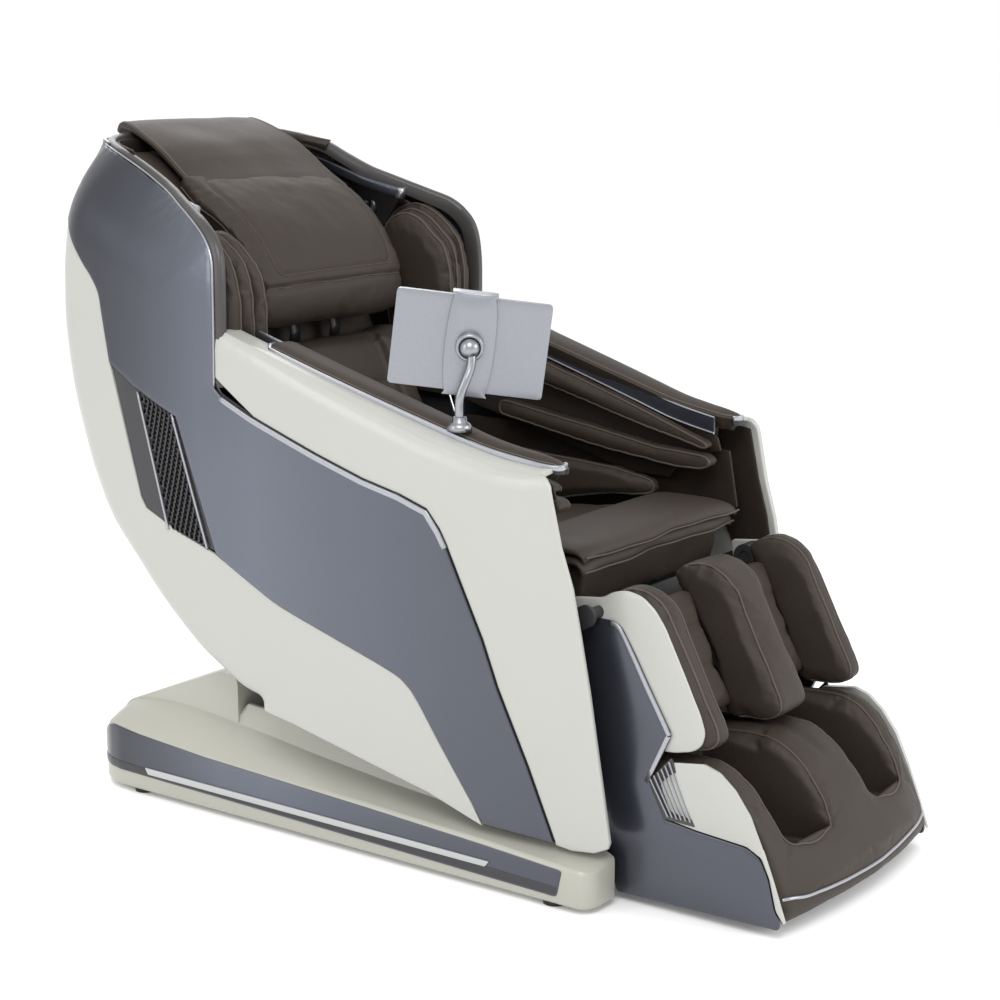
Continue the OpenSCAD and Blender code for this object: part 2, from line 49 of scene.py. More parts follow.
def material(name, colour, rough, metal=0.0, coat=0.0):
    m = bpy.data.materials.new(name)
    m.use_nodes = True
    b = m.node_tree.nodes["Principled BSDF"]
    b.inputs["Base Color"].default_value = (*colour, 1)
    b.inputs["Roughness"].default_value = rough
    b.inputs["Metallic"].default_value = metal
    b.inputs["Coat Weight"].default_value = coat
    b.inputs["Coat Roughness"].default_value = 0.12
    return m, m.node_tree, b


def add(tree, kind, **values):
    n = tree.nodes.new(kind)
    for k, v in values.items():
        if k in n.inputs:
            n.inputs[k].default_value = v
        else:
            setattr(n, k, v)
    return n


def textured(name, colour, rough, metal=0.0, coat=0.0, scale=900.0, bump=0.1, spread=0.06, kind="noise",
             tint=0.05, wave=0.0):
    """A procedural material: fine grain in the bump, a little spread in the roughness and the colour."""
    m, tree, b = material(name, colour, rough, metal, coat)
    link = tree.links.new
    space = add(tree, "ShaderNodeTexCoord")
    if kind == "leather":
        b.inputs["Specular IOR Level"].default_value = 0.28
        cells = add(tree, "ShaderNodeTexVoronoi", feature="DISTANCE_TO_EDGE", Scale=scale)
        warp = add(tree, "ShaderNodeTexNoise", Scale=scale * 0.45, Detail=3.0)
        mixed = add(tree, "ShaderNodeMath", operation="MULTIPLY_ADD")
        mixed.inputs[1].default_value = 1.6
        link(space.outputs["Object"], cells.inputs["Vector"])
        link(space.outputs["Object"], warp.inputs["Vector"])
        link(cells.outputs["Distance"], mixed.inputs[0])
        link(warp.outputs["Fac"], mixed.inputs[2])
        height = mixed.outputs[0]
    else:
        grain = add(tree, "ShaderNodeTexNoise", Scale=scale, Detail=2.0)
        link(space.outputs["Object"], grain.inputs["Vector"])
        height = grain.outputs["Fac"]
    broad = add(tree, "ShaderNodeTexNoise", Scale=9.0, Detail=4.0)
    link(space.outputs["Object"], broad.inputs["Vector"])
    bumper = add(tree, "ShaderNodeBump", Strength=bump, Distance=0.0006)
    link(height, bumper.inputs["Height"])
    if wave:
        creases = add(tree, "ShaderNodeTexNoise", Scale=14.0, Detail=6.0, Distortion=1.4)
        second = add(tree, "ShaderNodeBump", Strength=wave, Distance=0.006)
        link(space.outputs["Object"], creases.inputs["Vector"])
        link(creases.outputs["Fac"], second.inputs["Height"])
        link(bumper.outputs["Normal"], second.inputs["Normal"])
        bumper = second
    link(bumper.outputs["Normal"], b.inputs["Normal"])
    r = add(tree, "ShaderNodeMapRange")
    r.inputs["To Min"].default_value = rough - spread
    r.inputs["To Max"].default_value = rough + spread
    link(broad.outputs["Fac"], r.inputs["Value"])
    link(r.outputs["Result"], b.inputs["Roughness"])
    ramp = add(tree, "ShaderNodeMix", data_type="RGBA")
    ramp.inputs["A"].default_value = (*[c * (1 - tint) for c in colour], 1)
    ramp.inputs["B"].default_value = (*[min(1, c * (1 + tint)) for c in colour], 1)
    link(broad.outputs["Fac"], ramp.inputs["Factor"])
    link(ramp.outputs["Result"], b.inputs["Base Color"])
    return m


def flake(name, colour, rough, metal=0.75, coat=0.5, shade=False):
    """Metallic paint: tiny flakes that vary in lightness under a clear coat; with shade, painted light and shade
    along y.
    """
    m, tree, b = material(name, colour, rough, metal, coat)
    link = tree.links.new
    space = add(tree, "ShaderNodeTexCoord")
    cells = add(tree, "ShaderNodeTexVoronoi", Scale=2200.0)
    link(space.outputs["Object"], cells.inputs["Vector"])
    mix = add(tree, "ShaderNodeMix", data_type="RGBA")
    mix.inputs["A"].default_value = (*[c * 0.86 for c in colour], 1)
    mix.inputs["B"].default_value = (*[min(1, c * 1.18) for c in colour], 1)
    link(cells.outputs["Color"], mix.inputs["Factor"])
    out = mix.outputs["Result"]
    if shade:
        # Painted light and shade along y: painted shade darker towards the shell's ends and a painted highlight
        # lighter in the middle, for how the light falls across the side panels.
        part = add(tree, "ShaderNodeSeparateXYZ")
        link(space.outputs["Object"], part.inputs["Vector"])
        ramp = add(tree, "ShaderNodeValToRGB")
        span = add(tree, "ShaderNodeMapRange")
        span.inputs["From Min"].default_value, span.inputs["From Max"].default_value = -0.45, 0.80
        link(part.outputs["Y"], span.inputs["Value"])
        link(span.outputs["Result"], ramp.inputs["Fac"])
        e = ramp.color_ramp.elements
        e[0].position, e[0].color = 0.0, (0.72, 0.72, 0.72, 1)
        e[1].position, e[1].color = 1.0, (0.30, 0.30, 0.30, 1)
        for at, v in ((0.25, 0.85), (0.45, 1.1), (0.58, 1.35), (0.68, 1.25), (0.80, 0.7), (0.88, 0.45)):
            k = ramp.color_ramp.elements.new(at)
            k.color = (v, v, v, 1)
        times = add(tree, "ShaderNodeMix", data_type="RGBA", blend_type="MULTIPLY")
        times.inputs["Factor"].default_value = 1.0
        link(out, times.inputs["A"])
        link(ramp.outputs["Color"], times.inputs["B"])
        out = times.outputs["Result"]
    link(out, b.inputs["Base Color"])
    bumper = add(tree, "ShaderNodeBump", Strength=0.06, Distance=0.0003)
    link(cells.outputs["Distance"], bumper.inputs["Height"])
    link(bumper.outputs["Normal"], b.inputs["Normal"])
    return m


CREAM = textured("cream_plastic", (0.385, 0.388, 0.362), 0.34, coat=0.25, scale=420, bump=0.05, tint=0.015)
# The grey paint carries the painted light and shade along y, on every part that uses it.
GREY = flake("grey_metallic_paint", (0.084, 0.092, 0.116), 0.33, shade=True)
SILVER = flake("silver_paint", (0.33, 0.34, 0.365), 0.30, metal=0.85)
RIM = textured("rim_plastic", (0.040, 0.037, 0.036), 0.42, coat=0.1, scale=700, bump=0.08)
BLACK = textured("black_plastic", (0.010, 0.010, 0.011), 0.42, scale=700, bump=0.1)
GLOSS = textured("gloss_black", (0.008, 0.008, 0.010), 0.16, coat=0.6, scale=300, bump=0.02, spread=0.03)
CHARCOAL = flake("charcoal_paint", (0.042, 0.042, 0.046), 0.42, metal=0.5, coat=0.2)
LEATHER = textured("brown_leather", (0.0345, 0.0262, 0.0205), 0.56, scale=520, bump=0.32, kind="leather",
                   tint=0.10, wave=0.12)
LINING = textured("brown_lining", (0.022, 0.0158, 0.0120), 0.62, scale=560, bump=0.3, kind="leather",
                  tint=0.08)
PIPING = textured("brown_piping", (0.070, 0.056, 0.046), 0.5, scale=900, bump=0.2, kind="leather")
THREAD = textured("stitch_thread", (0.115, 0.095, 0.080), 0.6, scale=1500, bump=0.3)
STEEL = textured("powder_coat", (0.018, 0.018, 0.020), 0.5, scale=600, bump=0.16)
BRIGHT = textured("ground_steel", (0.45, 0.45, 0.47), 0.28, metal=1.0, scale=300, bump=0.03)
CHROME = textured("satin_chrome", (0.30, 0.31, 0.33), 0.32, metal=1.0, scale=220, bump=0.02)
RUBBER = textured("black_rubber", (0.010, 0.010, 0.010), 0.72, scale=500, bump=0.2)
NYLON = textured("nylon", (0.50, 0.49, 0.43), 0.5, scale=400, bump=0.1)
WOOD = textured("roller_resin", (0.22, 0.15, 0.085), 0.45, scale=160, bump=0.1, tint=0.2)
LENS = textured("milky_lens", (0.40, 0.41, 0.41), 0.30, coat=0.4, scale=200, bump=0.03)
TABLET = flake("tablet_shell", (0.255, 0.265, 0.290), 0.34, metal=0.7, coat=0.2)
SCREEN = textured("screen_glass", (0.006, 0.007, 0.009), 0.08, coat=0.8, scale=60, bump=0.004, spread=0.02)
BASECREAM = textured("cream_base", (0.355, 0.350, 0.305), 0.38, coat=0.2, scale=420, bump=0.06, tint=0.02)


# ---------- geometry helpers (millimetres in, metres in the mesh) ----------

def new_object(name, verts, faces, mats, smooth=True):
    me = bpy.data.meshes.new(name)
    me.from_pydata([tuple(c * MM for c in v) for v in verts], [], faces)
    me.validate()
    me.update()
    ob = bpy.data.objects.new(name, me)
    scene.collection.objects.link(ob)
    for m in mats if isinstance(mats, (list, tuple)) else [mats]:
        me.materials.append(m)
    for p in me.polygons:
        p.use_smooth = smooth
    return ob


def face_out(ob, want=None):
    """Makes the faces agree and, on the whole, look along want."""
    bm = bmesh.new()
    bm.from_mesh(ob.data)
    bmesh.ops.recalc_face_normals(bm, faces=bm.faces)
    if want and sum(f.normal.dot(Vector(want)) for f in bm.faces) < 0:
        bmesh.ops.reverse_faces(bm, faces=bm.faces)
    bm.to_mesh(ob.data)
    bm.free()
    return ob


def apply_all(ob):
    """Bakes every modifier of ob into its mesh."""
    deps = bpy.context.evaluated_depsgraph_get()
    me = bpy.data.meshes.new_from_object(ob.evaluated_get(deps), preserve_all_data_layers=True,
                                         depsgraph=deps)
    old = ob.data
    ob.modifiers.clear()
    ob.data = me
    bpy.data.meshes.remove(old)
    return ob


def modify(ob, kind, **values):
    m = ob.modifiers.new(kind.lower(), kind)
    for k, v in values.items():
        setattr(m, k, v)
    return m


def bevelled(ob, width=2.5, segments=3, angle=35):
    modify(ob, "BEVEL", width=width * MM, segments=segments, limit_method="ANGLE",
           angle_limit=math.radians(angle), harden_normals=False)
    return ob


def smooth_by_angle(ob, angle=35):
    for p in ob.data.polygons:
        p.use_smooth = True
    bpy.ops.object.select_all(action="DESELECT")
    ob.select_set(True)
    bpy.context.view_layer.objects.active = ob
    bpy.ops.object.shade_smooth_by_angle(angle=math.radians(angle))
    return ob


def mirrored(ob, name):
    """The same piece on the other side of x = 0."""
    me = ob.data.copy()
    me.transform(Matrix.Scale(-1, 4, (1, 0, 0)))
    me.flip_normals()
    two = bpy.data.objects.new(name, me)
    scene.collection.objects.link(two)
    return two


def dense(points, step=8.0, closed=True):
    out = []
    n = len(points)
    for i in range(n if closed else n - 1):
        a, b = np.array(points[i], float), np.array(points[(i + 1) % n], float)
        k = max(1, int(math.ceil(np.linalg.norm(b - a) / step)))
        out += [tuple(a + (b - a) * j / k) for j in range(k)]
    if not closed:
        out.append(tuple(points[-1]))
    return out


def spline(points, n=8):
    """Catmull-Rom through the points."""
    p = [np.array(q, float) for q in points]
    p = [2 * p[0] - p[1]] + p + [2 * p[-1] - p[-2]]
    out = []
    for p0, p1, p2, p3 in zip(p, p[1:], p[2:], p[3:]):
        for t in (j / n for j in range(n)):
            out.append(tuple(0.5 * (2 * p1 + (p2 - p0) * t + (2 * p0 - 5 * p1 + 4 * p2 - p3) * t * t
                                    + (3 * p1 - p0 - 3 * p2 + p3) * t ** 3)))
    out.append(tuple(p[-2]))
    return out


def rounded(points, r=12, n=5):
    """A closed outline with its corners rounded."""
    out = []
    m = len(points)
    for i in range(m):
        a, b, c = (np.array(points[j % m], float) for j in (i - 1, i, i + 1))
        ra = min(r, np.linalg.norm(a - b) * 0.45)
        rc = min(r, np.linalg.norm(c - b) * 0.45)
        s, e = b + (a - b) / np.linalg.norm(a - b) * ra, b + (c - b) / np.linalg.norm(c - b) * rc
        for j in range(n + 1):
            t = j / n
            out.append(tuple((1 - t) ** 2 * s + 2 * t * (1 - t) * b + t * t * e))
    return out


def distance_to(path, pts, closed=True):
    """Distance of each of pts (n x 2) to a polyline."""
    P = np.array(path, float)
    Q = np.roll(P, -1, 0) if closed else P[1:]
    P = P if closed else P[:-1]
    best = np.full(len(pts), 1e9)
    for a, b in zip(P, Q):
        d = b - a
        L = d @ d
        if L < 1e-9:
            continue
        t = np.clip(((pts - a) @ d) / L, 0, 1)
        best = np.minimum(best, np.linalg.norm(pts - (a + t[:, None] * d), axis=1))
    return best


def fill(outline, step):
    """Triangles over an outline, with a grid of points inside it."""
    edge = dense(outline, step)
    E = np.array(edge)
    lo, hi = E.min(0), E.max(0)
    gy, gz = np.meshgrid(np.arange(lo[0] + step * 0.37, hi[0], step), np.arange(lo[1] + step * 0.41, hi[1],
            step))
    grid = np.stack([gy.ravel(), gz.ravel()], 1)
    inside = np.zeros(len(grid), bool)
    n = len(E)
    for i in range(n):
        a, b = E[i], E[(i + 1) % n]
        cond = (a[1] > grid[:, 1]) != (b[1] > grid[:, 1])
        with np.errstate(divide="ignore", invalid="ignore"):
            xs = (b[0] - a[0]) * (grid[:, 1] - a[1]) / (b[1] - a[1] + 1e-12) + a[0]
        inside ^= cond & (grid[:, 0] < xs)
    grid = grid[inside]
    grid = grid[distance_to(edge, grid) > step * 0.6]
    pts = [Vector(p) for p in edge] + [Vector(p) for p in grid]
    v, _, f, _, _, _ = delaunay_2d_cdt(pts, [], [list(range(len(edge)))], 1, 1e-4)
    return np.array([tuple(p) for p in v]), f


# ---------- the capsule's outside ----------

def bow(y):
    return 390 - (5000 - np.sqrt(5000.0 ** 2 - (np.asarray(y, float) - 350) ** 2))


# The rear face's profile, and the hood's edge with how far it leans in from the bowed side.
REAR = spline([(777, 1224), (783, 1190), (785, 1144), (786, 1082), (789, 1003), (788, 933), (783, 859),
               (767, 762),
               (737, 668), (710, 600), (662, 521), (591, 450), (530, 391), (442, 322), (379, 286), (327, 259),
               (284, 247)], 4)
REAR_FAR = [(766, 1262)] + REAR
RIM_EDGE = [(366, 806, 3), (364, 900, 3), (364, 975, 4), (370, 1028, 9), (388, 1058, 15), (416, 1080, 24),
            (455, 1098, 41), (495, 1115, 58), (530, 1130, 73), (567, 1145, 85), (620, 1170, 90),
            (669, 1192, 89), (710, 1204, 86), (749, 1213, 76)]
RIM_DENSE = np.array(spline(RIM_EDGE, 8))


def roll_radius(z):
    return np.interp(z, [250, 400, 600, 900, 1000, 1082, 1144, 1222], [36, 50, 62, 66, 76, 95, 112, 130])


def lean_in(y, z):
    """How far the side turns in towards the hood's edge."""
    y, z = np.asarray(y, float), np.asarray(z, float)
    d = np.hypot(y[..., None] - RIM_DENSE[:, 0], z[..., None] - RIM_DENSE[:, 1])
    return RIM_DENSE[d.argmin(-1), 2] * np.clip(1 - d.min(-1) / 150, 0, 1) ** 2


def shell_x(y, z, out=0.0):
    """Half width of the capsule at (y, z): bowed in plan, rolled over towards the rear and the hood's edge."""
    y, z = np.asarray(y, float), np.asarray(z, float)
    d = distance_to(REAR_FAR, np.stack([y.ravel(), z.ravel()], 1), closed=False).reshape(y.shape)
    R = roll_radius(z)
    k = np.clip((R - d) / R, 0, 1)
    return bow(y) + out - (R - np.sqrt(np.maximum(R * R - (k * R) ** 2, 0))) - lean_in(y, z)


def grid_faces(rows, cols):
    return [(a, a + 1, a + cols + 2, a + cols + 1) for i in range(rows)
            for a in range(i * (cols + 1), i * (cols + 1) + cols)]


def along(points, out, dy=0.0, dz=0.0, step=10):
    """A line in side view laid on the capsule's right surface, out from it."""
    q = np.array(dense(points, step, closed=False))
    x = shell_x(q[:, 0], q[:, 1], out)
    return [(-a, b[0] + dy, b[1] + dz) for a, b in zip(x, q)]


def side_panel(name, outline, out, thick, mats, step=9, bevel=2.5, surf=shell_x, segments=3):
    """A moulded panel on the right side (-X), following the capsule's surface."""
    v, f = fill(outline, step)
    x = surf(v[:, 0], v[:, 1], out)
    me = [(-a, b[0], b[1]) for a, b in zip(x, v)]
    ob = new_object(name, me, [tuple(t) for t in f], mats)
    face_out(ob, (-1, 0, 0))
    modify(ob, "SOLIDIFY", thickness=thick * MM, offset=-1)
    if bevel:
        bevelled(ob, bevel, segments, 50)
    apply_all(ob)
    return ob


def both_sides(ob, right=None, left=None, body="capsule", name=None):
    """Mirrors the piece ..._right as ..._left; both ride on body and stand for the named CAD nodes."""
    two = mirrored(ob, name or ob.name.replace("_right", "_left"))
    for o, node in ((ob, right), (two, left)):
        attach(o, body)
        if node:
            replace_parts(o, node)
    return two


def inset_rear(points):
    """Moves points that lie on the rear outline inwards, where the rolled back takes over."""
    P = np.array(points, float)
    d = distance_to(REAR_FAR, P, closed=False)
    c = np.array([150.0, 800.0])
    for i in range(len(P)):
        need = 0.364 * roll_radius(P[i][1]) + 1
        for _ in range(40):
            if d[i] >= need - 0.3:
                break
            u = (c - P[i]) / np.linalg.norm(c - P[i])
            P[i] += u * (need - d[i])
            d[i] = distance_to(REAR_FAR, P[i:i + 1], closed=False)[0]
    return [tuple(p) for p in P]


rear_up = [p for p in REAR if p[1] > 1082]
rear_mid = [p for p in REAR if p[1] <= 1082]
GREY_REAR = spline([(626, 828), (636, 880), (643, 918), (650, 952), (668, 980), (690, 1004), (718, 1040),
                    (750, 1084)], 4)
GREY_LOW = spline([(-197, 117), (-113, 243), (-71, 308), (-46, 337), (-10, 357), (113, 399), (219, 434),
                   (273, 459), (367, 507)], 4)
GREY_FRONT = [(-328, 107), (-279, 229), (-222, 356), (-194, 433), (-125, 585), (-111, 611), (-86, 642),
              (-33, 661), (39, 679), (139, 712), (275, 761), (351, 794), (366, 812)]
RIM_FRONT = [(p[0], p[1]) for p in spline(RIM_EDGE, 3)]
VENT_LOW = [(367, 507), (466, 536), (544, 568), (556, 585)]

grey_outline = GREY_LOW[:-1] + [(367, 508), (457, 745), (498, 761), (562, 790)] + GREY_REAR[:-1] \
    + inset_rear(rear_up[::-1])[:-2] + RIM_FRONT[-2::-1] + GREY_FRONT[-2::-1]
grey = side_panel("side_panel_shaped_right", grey_outline, 3.0, 7, GREY, step=9, bevel=2.2)
both_sides(grey, "side_panel_right", "side_panel_left")

cream_outline = [(-197 + 4, 112)] + [(p[0] + 1.5, p[1] - 1.5) for p in GREY_LOW[1:-1]] + [(369,
        505)] + VENT_LOW[1:] \
    + [(p[0] + 2.2, p[1] - 0.5) for p in GREY_REAR[:-1]] + inset_rear(rear_mid) + [(266, 236),
            (200, 224), (60, 190),
    (-88, 152)]
cream = side_panel("side_shell_shaped_right", cream_outline, 0.0, 7, CREAM, step=9, bevel=1.6)
both_sides(cream, "side_shell_right", "side_shell_left")

ARM_TOP = [(362, 908), (271, 880), (168, 842), (38, 796), (-77, 758), (-171, 734), (-217, 722), (-262, 719),
           (-288, 721)]
arm_outline = [(363, 822)] + [(p[0] - 2, p[1] + 1.2) for p in GREY_FRONT[-3::-1]] + [(-330, 103),
        (-360, 98), (-400, 101),
    (-424, 112), (-427, 122), (-407, 250), (-388, 373), (-372, 460), (-357, 538), (-336, 604), (-314, 704),
    (-304, 717)] + ARM_TOP[::-1]


def height_on(line, y):
    """Height at y of a line in side view."""
    return np.interp(y, *zip(*sorted(line)))


def arm_x(y, z, out=0.0):
    """The arm panel's top edge turns in a little towards the armrest."""
    y, z = np.asarray(y, float), np.asarray(z, float)
    d = np.clip(height_on(ARM_TOP, y) - z, 0, 40)
    return shell_x(y, z, out) - (40 - np.sqrt(np.maximum(1600 - (40 - d) ** 2, 0))) * 0.34


arm = side_panel("arm_panel_shaped_right", arm_outline, 0.0, 11, CREAM, step=10, bevel=3.0, surf=arm_x)
both_sides(arm, "arm_panel_right", "arm_panel_left")


# ---------- rolled back of the capsule ----------

PAINT_FROM = 1085


def rolled(name, curve, mats, inset=0.0, turn=50.5, cols=44, flat=0.72, crown=7.0, thick=6):
    """The rear profile swept across, with its long edges rolled to meet the side panels."""
    C = np.array(dense(curve, 11, closed=False))
    T = np.gradient(C, axis=0)
    T /= np.linalg.norm(T, axis=1)[:, None]
    N = np.stack([T[:, 1], -T[:, 0]], 1)
    N *= np.sign(((C - np.array([150, 800])) * N).sum(1))[:, None]
    verts = []
    for (y, z), n in zip(C, N):
        R = float(roll_radius(z))
        r = R - inset
        for j in range(cols + 1):
            u = 2 * j / cols - 1
            if abs(u) <= flat:
                x, g = u / flat, 0.0
            else:
                x, g = math.copysign(1, u), (abs(u) - flat) / (1 - flat)
            phi = g * math.radians(turn)
            q = np.array([y, z]) - n * (inset + r - r * math.cos(phi))
            X = float(bow(q[0])) - R
            px = abs(x) * X + r * math.sin(phi)
            px -= float(lean_in(q[0], q[1])) * min(1, px / (X + r * math.sin(math.radians(turn)))) ** 1.5
            bulge = crown * (1 - x * x) - crown
            verts.append((math.copysign(px, u) if u else 0.0, q[0] + n[0] * bulge, q[1] + n[1] * bulge))
    ob = new_object(name, verts, grid_faces(len(C) - 1, cols), mats)
    face_out(ob, (0, 1, 0))
    if isinstance(mats, list):
        # The long rolled edges of the hood carry the metallic paint of the side panels.
        for p in ob.data.polygons:
            if abs(2 * (p.index % cols + 0.5) / cols - 1) > flat and p.center.z > PAINT_FROM * MM:
                p.material_index = 1
    modify(ob, "SOLIDIFY", thickness=thick * MM, offset=-1)
    bevelled(ob, 1.5, 2, 60)
    apply_all(ob)
    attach(ob, "capsule")
    return ob


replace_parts(rolled("back_shell_shaped", REAR, [CREAM, GREY]), "back_shell")
rolled("hood_back_wall", [p for p in REAR if p[1] > 840], LEATHER, inset=24, turn=84, thick=4)


# ---------- hood rim ----------

def loft(name, verts, n, m, mats):
    """Joins n closed sections of m points each and closes both ends."""
    faces = [(i + j, i + (j + 1) % m, i + m + (j + 1) % m, i + m + j) for i in range(0, (n - 1) * m, m)
             for j in range(m)]
    faces += [tuple(range(m))[::-1], tuple(range((n - 1) * m, n * m))]
    return face_out(new_object(name, verts, faces, mats))


def sweep(name, path, section, mats, up=(-1, 0, 0.001), wide=None):
    """Sweeps a section of (a, b) points: a runs along up, scaled by wide on its positive side, b across it."""
    P = np.array(path, float)
    T = np.gradient(P, axis=0)
    T /= np.linalg.norm(T, axis=1)[:, None]
    verts = []
    for p, t in zip(P, T):
        U = np.array(up(p) if callable(up) else up, float)
        A = U - t * (U @ t)
        A /= np.linalg.norm(A)
        B = np.cross(t, A)
        k = wide(p) if wide else 1.0
        verts += [tuple(p + A * (a * k if a > 0 else a) + B * b) for a, b in section]
    return loft(name, verts, len(P), len(section), mats)


def circle(r, n):
    return [(r * math.cos(2 * math.pi * i / n), r * math.sin(2 * math.pi * i / n)) for i in range(n)]


def rectangle(a, b, r, n):
    return rounded([(-a, -b), (a, -b), (a, b), (-a, b)], r, n)


def rim_path(dx):
    """The hood's edge from armrest to armrest; dx moves it inwards."""
    half = [(-float(shell_x(y, z)) + dx, y, z) for y, z, _ in RIM_EDGE]
    half += [(-200 + dx * 0.3, 768, 1219), (-100, 775, 1223), (0, 777, 1224)]
    half = spline(half, 7)
    return half + [(-x, y, z) for x, y, z in half[-2::-1]]


def from_hood(p):
    """Outwards from the hood's middle: forwards on the uprights, upwards across the top."""
    return (0.0, np.interp(p[1], [370, 416, 700, 765], [-1, -0.6, -0.45, -0.05]),
            np.interp(p[1], [370, 416, 700, 765], [0, 0.8, 0.9, 1]) + 1e-4)


def rim_width(p):
    return float(np.interp(p[1], [366, 380, 416, 455, 520, 620], [17, 17, 15, 13, 11, 9]))


rim = sweep("hood_rim_shaped", rim_path(3), [(-14, 0), (0.6, -0.5), (0.93, 3), (1, 8), (0.93, 14),
                                             (0.6, 17), (-14, 17)],
            RIM, up=from_hood, wide=rim_width)
smooth_by_angle(rim, 50)
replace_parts(rim, "hood_rim")
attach(rim, "capsule")
edge = sweep("hood_rim_edge", rim_path(0.5), circle(2.4, 8), SILVER, up=from_hood)
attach(edge, "capsule")


# ---------- soft pieces ----------

def solid(outline, x0, x1):
    """A bmesh prism of a [y, z] outline along x."""
    bm = bmesh.new()
    a = [bm.verts.new((x0 * MM, p[0] * MM, p[1] * MM)) for p in outline]
    b = [bm.verts.new((x1 * MM, p[0] * MM, p[1] * MM)) for p in outline]
    n = len(outline)
    bm.faces.new(a)
    bm.faces.new(b[::-1])
    for i in range(n):
        bm.faces.new((a[i], b[i], b[(i + 1) % n], a[(i + 1) % n])[::-1])
    bmesh.ops.recalc_face_normals(bm, faces=bm.faces)
    bmesh.ops.triangulate(bm, faces=bm.faces)
    return bm


def mesh_object(name, bms, mats):
    me = bpy.data.meshes.new(name)
    bm = bmesh.new()
    for b in bms if isinstance(bms, list) else [bms]:
        t = bpy.data.meshes.new("t")
        b.to_mesh(t)
        bm.from_mesh(t)
        bpy.data.meshes.remove(t)
        b.free()
    bm.to_mesh(me)
    bm.free()
    ob = bpy.data.objects.new(name, me)
    scene.collection.objects.link(ob)
    for m in mats if isinstance(mats, (list, tuple)) else [mats]:
        me.materials.append(m)
    return ob


def cut(ob, tool):
    """ob minus tool; the tool is removed."""
    m = modify(ob, "BOOLEAN", operation="DIFFERENCE", solver="EXACT")
    m.object = tool
    apply_all(ob)
    bpy.data.objects.remove(tool)
    return ob


def get(ob):
    v = np.empty(len(ob.data.vertices) * 3)
    ob.data.vertices.foreach_get("co", v)
    return v.reshape(-1, 3)


def put(ob, v):
    ob.data.vertices.foreach_set("co", v.ravel())
    ob.data.update()


def normals(ob):
    v = np.empty(len(ob.data.vertices) * 3)
    ob.data.vertices.foreach_get("normal", v)
    return v.reshape(-1, 3)


def remesh(ob, voxel=6.0, smooth=6):
    modify(ob, "REMESH", mode="VOXEL", voxel_size=voxel * MM, use_smooth_shade=True)
    if smooth:
        modify(ob, "SMOOTH", factor=0.5, iterations=smooth)
    return apply_all(ob)


def refined(ob):
    """One subdivision, smooth all over."""
    modify(ob, "SUBSURF", levels=1, render_levels=1)
    apply_all(ob)
    for p in ob.data.polygons:
        p.use_smooth = True
    return ob


def wrinkles(ob, amount=1.2, size=60, seed=0.0):
    """Soft irregular swelling, in millimetres."""
    v, n = get(ob), normals(ob)
    k = 1 / (size * MM)
    d = np.array([noise.noise(Vector((p[0] * k + seed, p[1] * k, p[2] * k))) for p in v])
    put(ob, v + n * (d * amount * MM)[:, None])


def inflate(ob, pressure=4.0, cap=14.0):
    """Swells a pad with the cloth solver, holding every point within cap of where it began."""
    before = get(ob)
    m = modify(ob, "CLOTH")
    s = m.settings
    s.quality = 5
    s.mass = 0.3
    s.tension_stiffness = s.compression_stiffness = 12.0
    s.shear_stiffness = 6.0
    s.bending_stiffness = 0.4
    s.use_pressure = True
    s.uniform_pressure_force = pressure
    s.effector_weights.gravity = 0
    m.collision_settings.use_collision = False
    m.point_cache.frame_start, m.point_cache.frame_end = 1, 20
    for f in range(1, 21):
        scene.frame_set(f)
    apply_all(ob)
    scene.frame_set(1)
    after = get(ob)
    d = after - before
    L = np.linalg.norm(d, axis=1)
    keep = np.minimum(1, cap * MM / np.maximum(L, 1e-9))
    put(ob, before + d * keep[:, None])
    return ob


def press(ob, paths, width=7.0, depth=4.0):
    """Sewn channels: sinks the surface along 3-D polylines (millimetres)."""
    pts = [p for path in paths for p in dense(path, 3, closed=False)]
    tree = kdtree.KDTree(len(pts))
    for i, p in enumerate(pts):
        tree.insert(Vector(p) * MM, i)
    tree.balance()
    v, n = get(ob), normals(ob)
    for i, p in enumerate(v):
        d = tree.find(p)[2] / MM
        if d < width * 2.5:
            v[i] = p - n[i] * depth * MM * math.exp(-(d / width) ** 2)
    put(ob, v)


def snap(ob, path, lift=0.0):
    """Moves a 3-D polyline onto the surface of ob."""
    out = []
    for p in dense(path, 6, closed=False):
        _, q, n, _ = ob.closest_point_on_mesh(Vector(p) * MM)
        out.append(tuple((q + n * lift * MM) / MM))
    A = np.array(out)
    for _ in range(2):
        A[1:-1] = (A[:-2] + 2 * A[1:-1] + A[2:]) / 4
    return [tuple(p) for p in A]


def tubes(name, paths, r, mat):
    """Piping or thread: one object of round tubes along 3-D polylines."""
    cu = bpy.data.curves.new(name, "CURVE")
    cu.dimensions = "3D"
    cu.bevel_depth = r * MM
    cu.bevel_resolution = 2
    cu.use_fill_caps = True
    for path in paths:
        sp = cu.splines.new("POLY")
        sp.points.add(len(path) - 1)
        for i, p in enumerate(path):
            sp.points[i].co = (p[0] * MM, p[1] * MM, p[2] * MM, 1)
        sp.use_smooth = True
    tmp = bpy.data.objects.new(name + "_c", cu)
    scene.collection.objects.link(tmp)
    deps = bpy.context.evaluated_depsgraph_get()
    me = bpy.data.meshes.new_from_object(tmp.evaluated_get(deps))
    bpy.data.objects.remove(tmp)
    ob = bpy.data.objects.new(name, me)
    me.name = name
    me.materials.clear()
    me.materials.append(mat)
    for p in me.polygons:
        p.use_smooth = True
    scene.collection.objects.link(ob)
    return ob


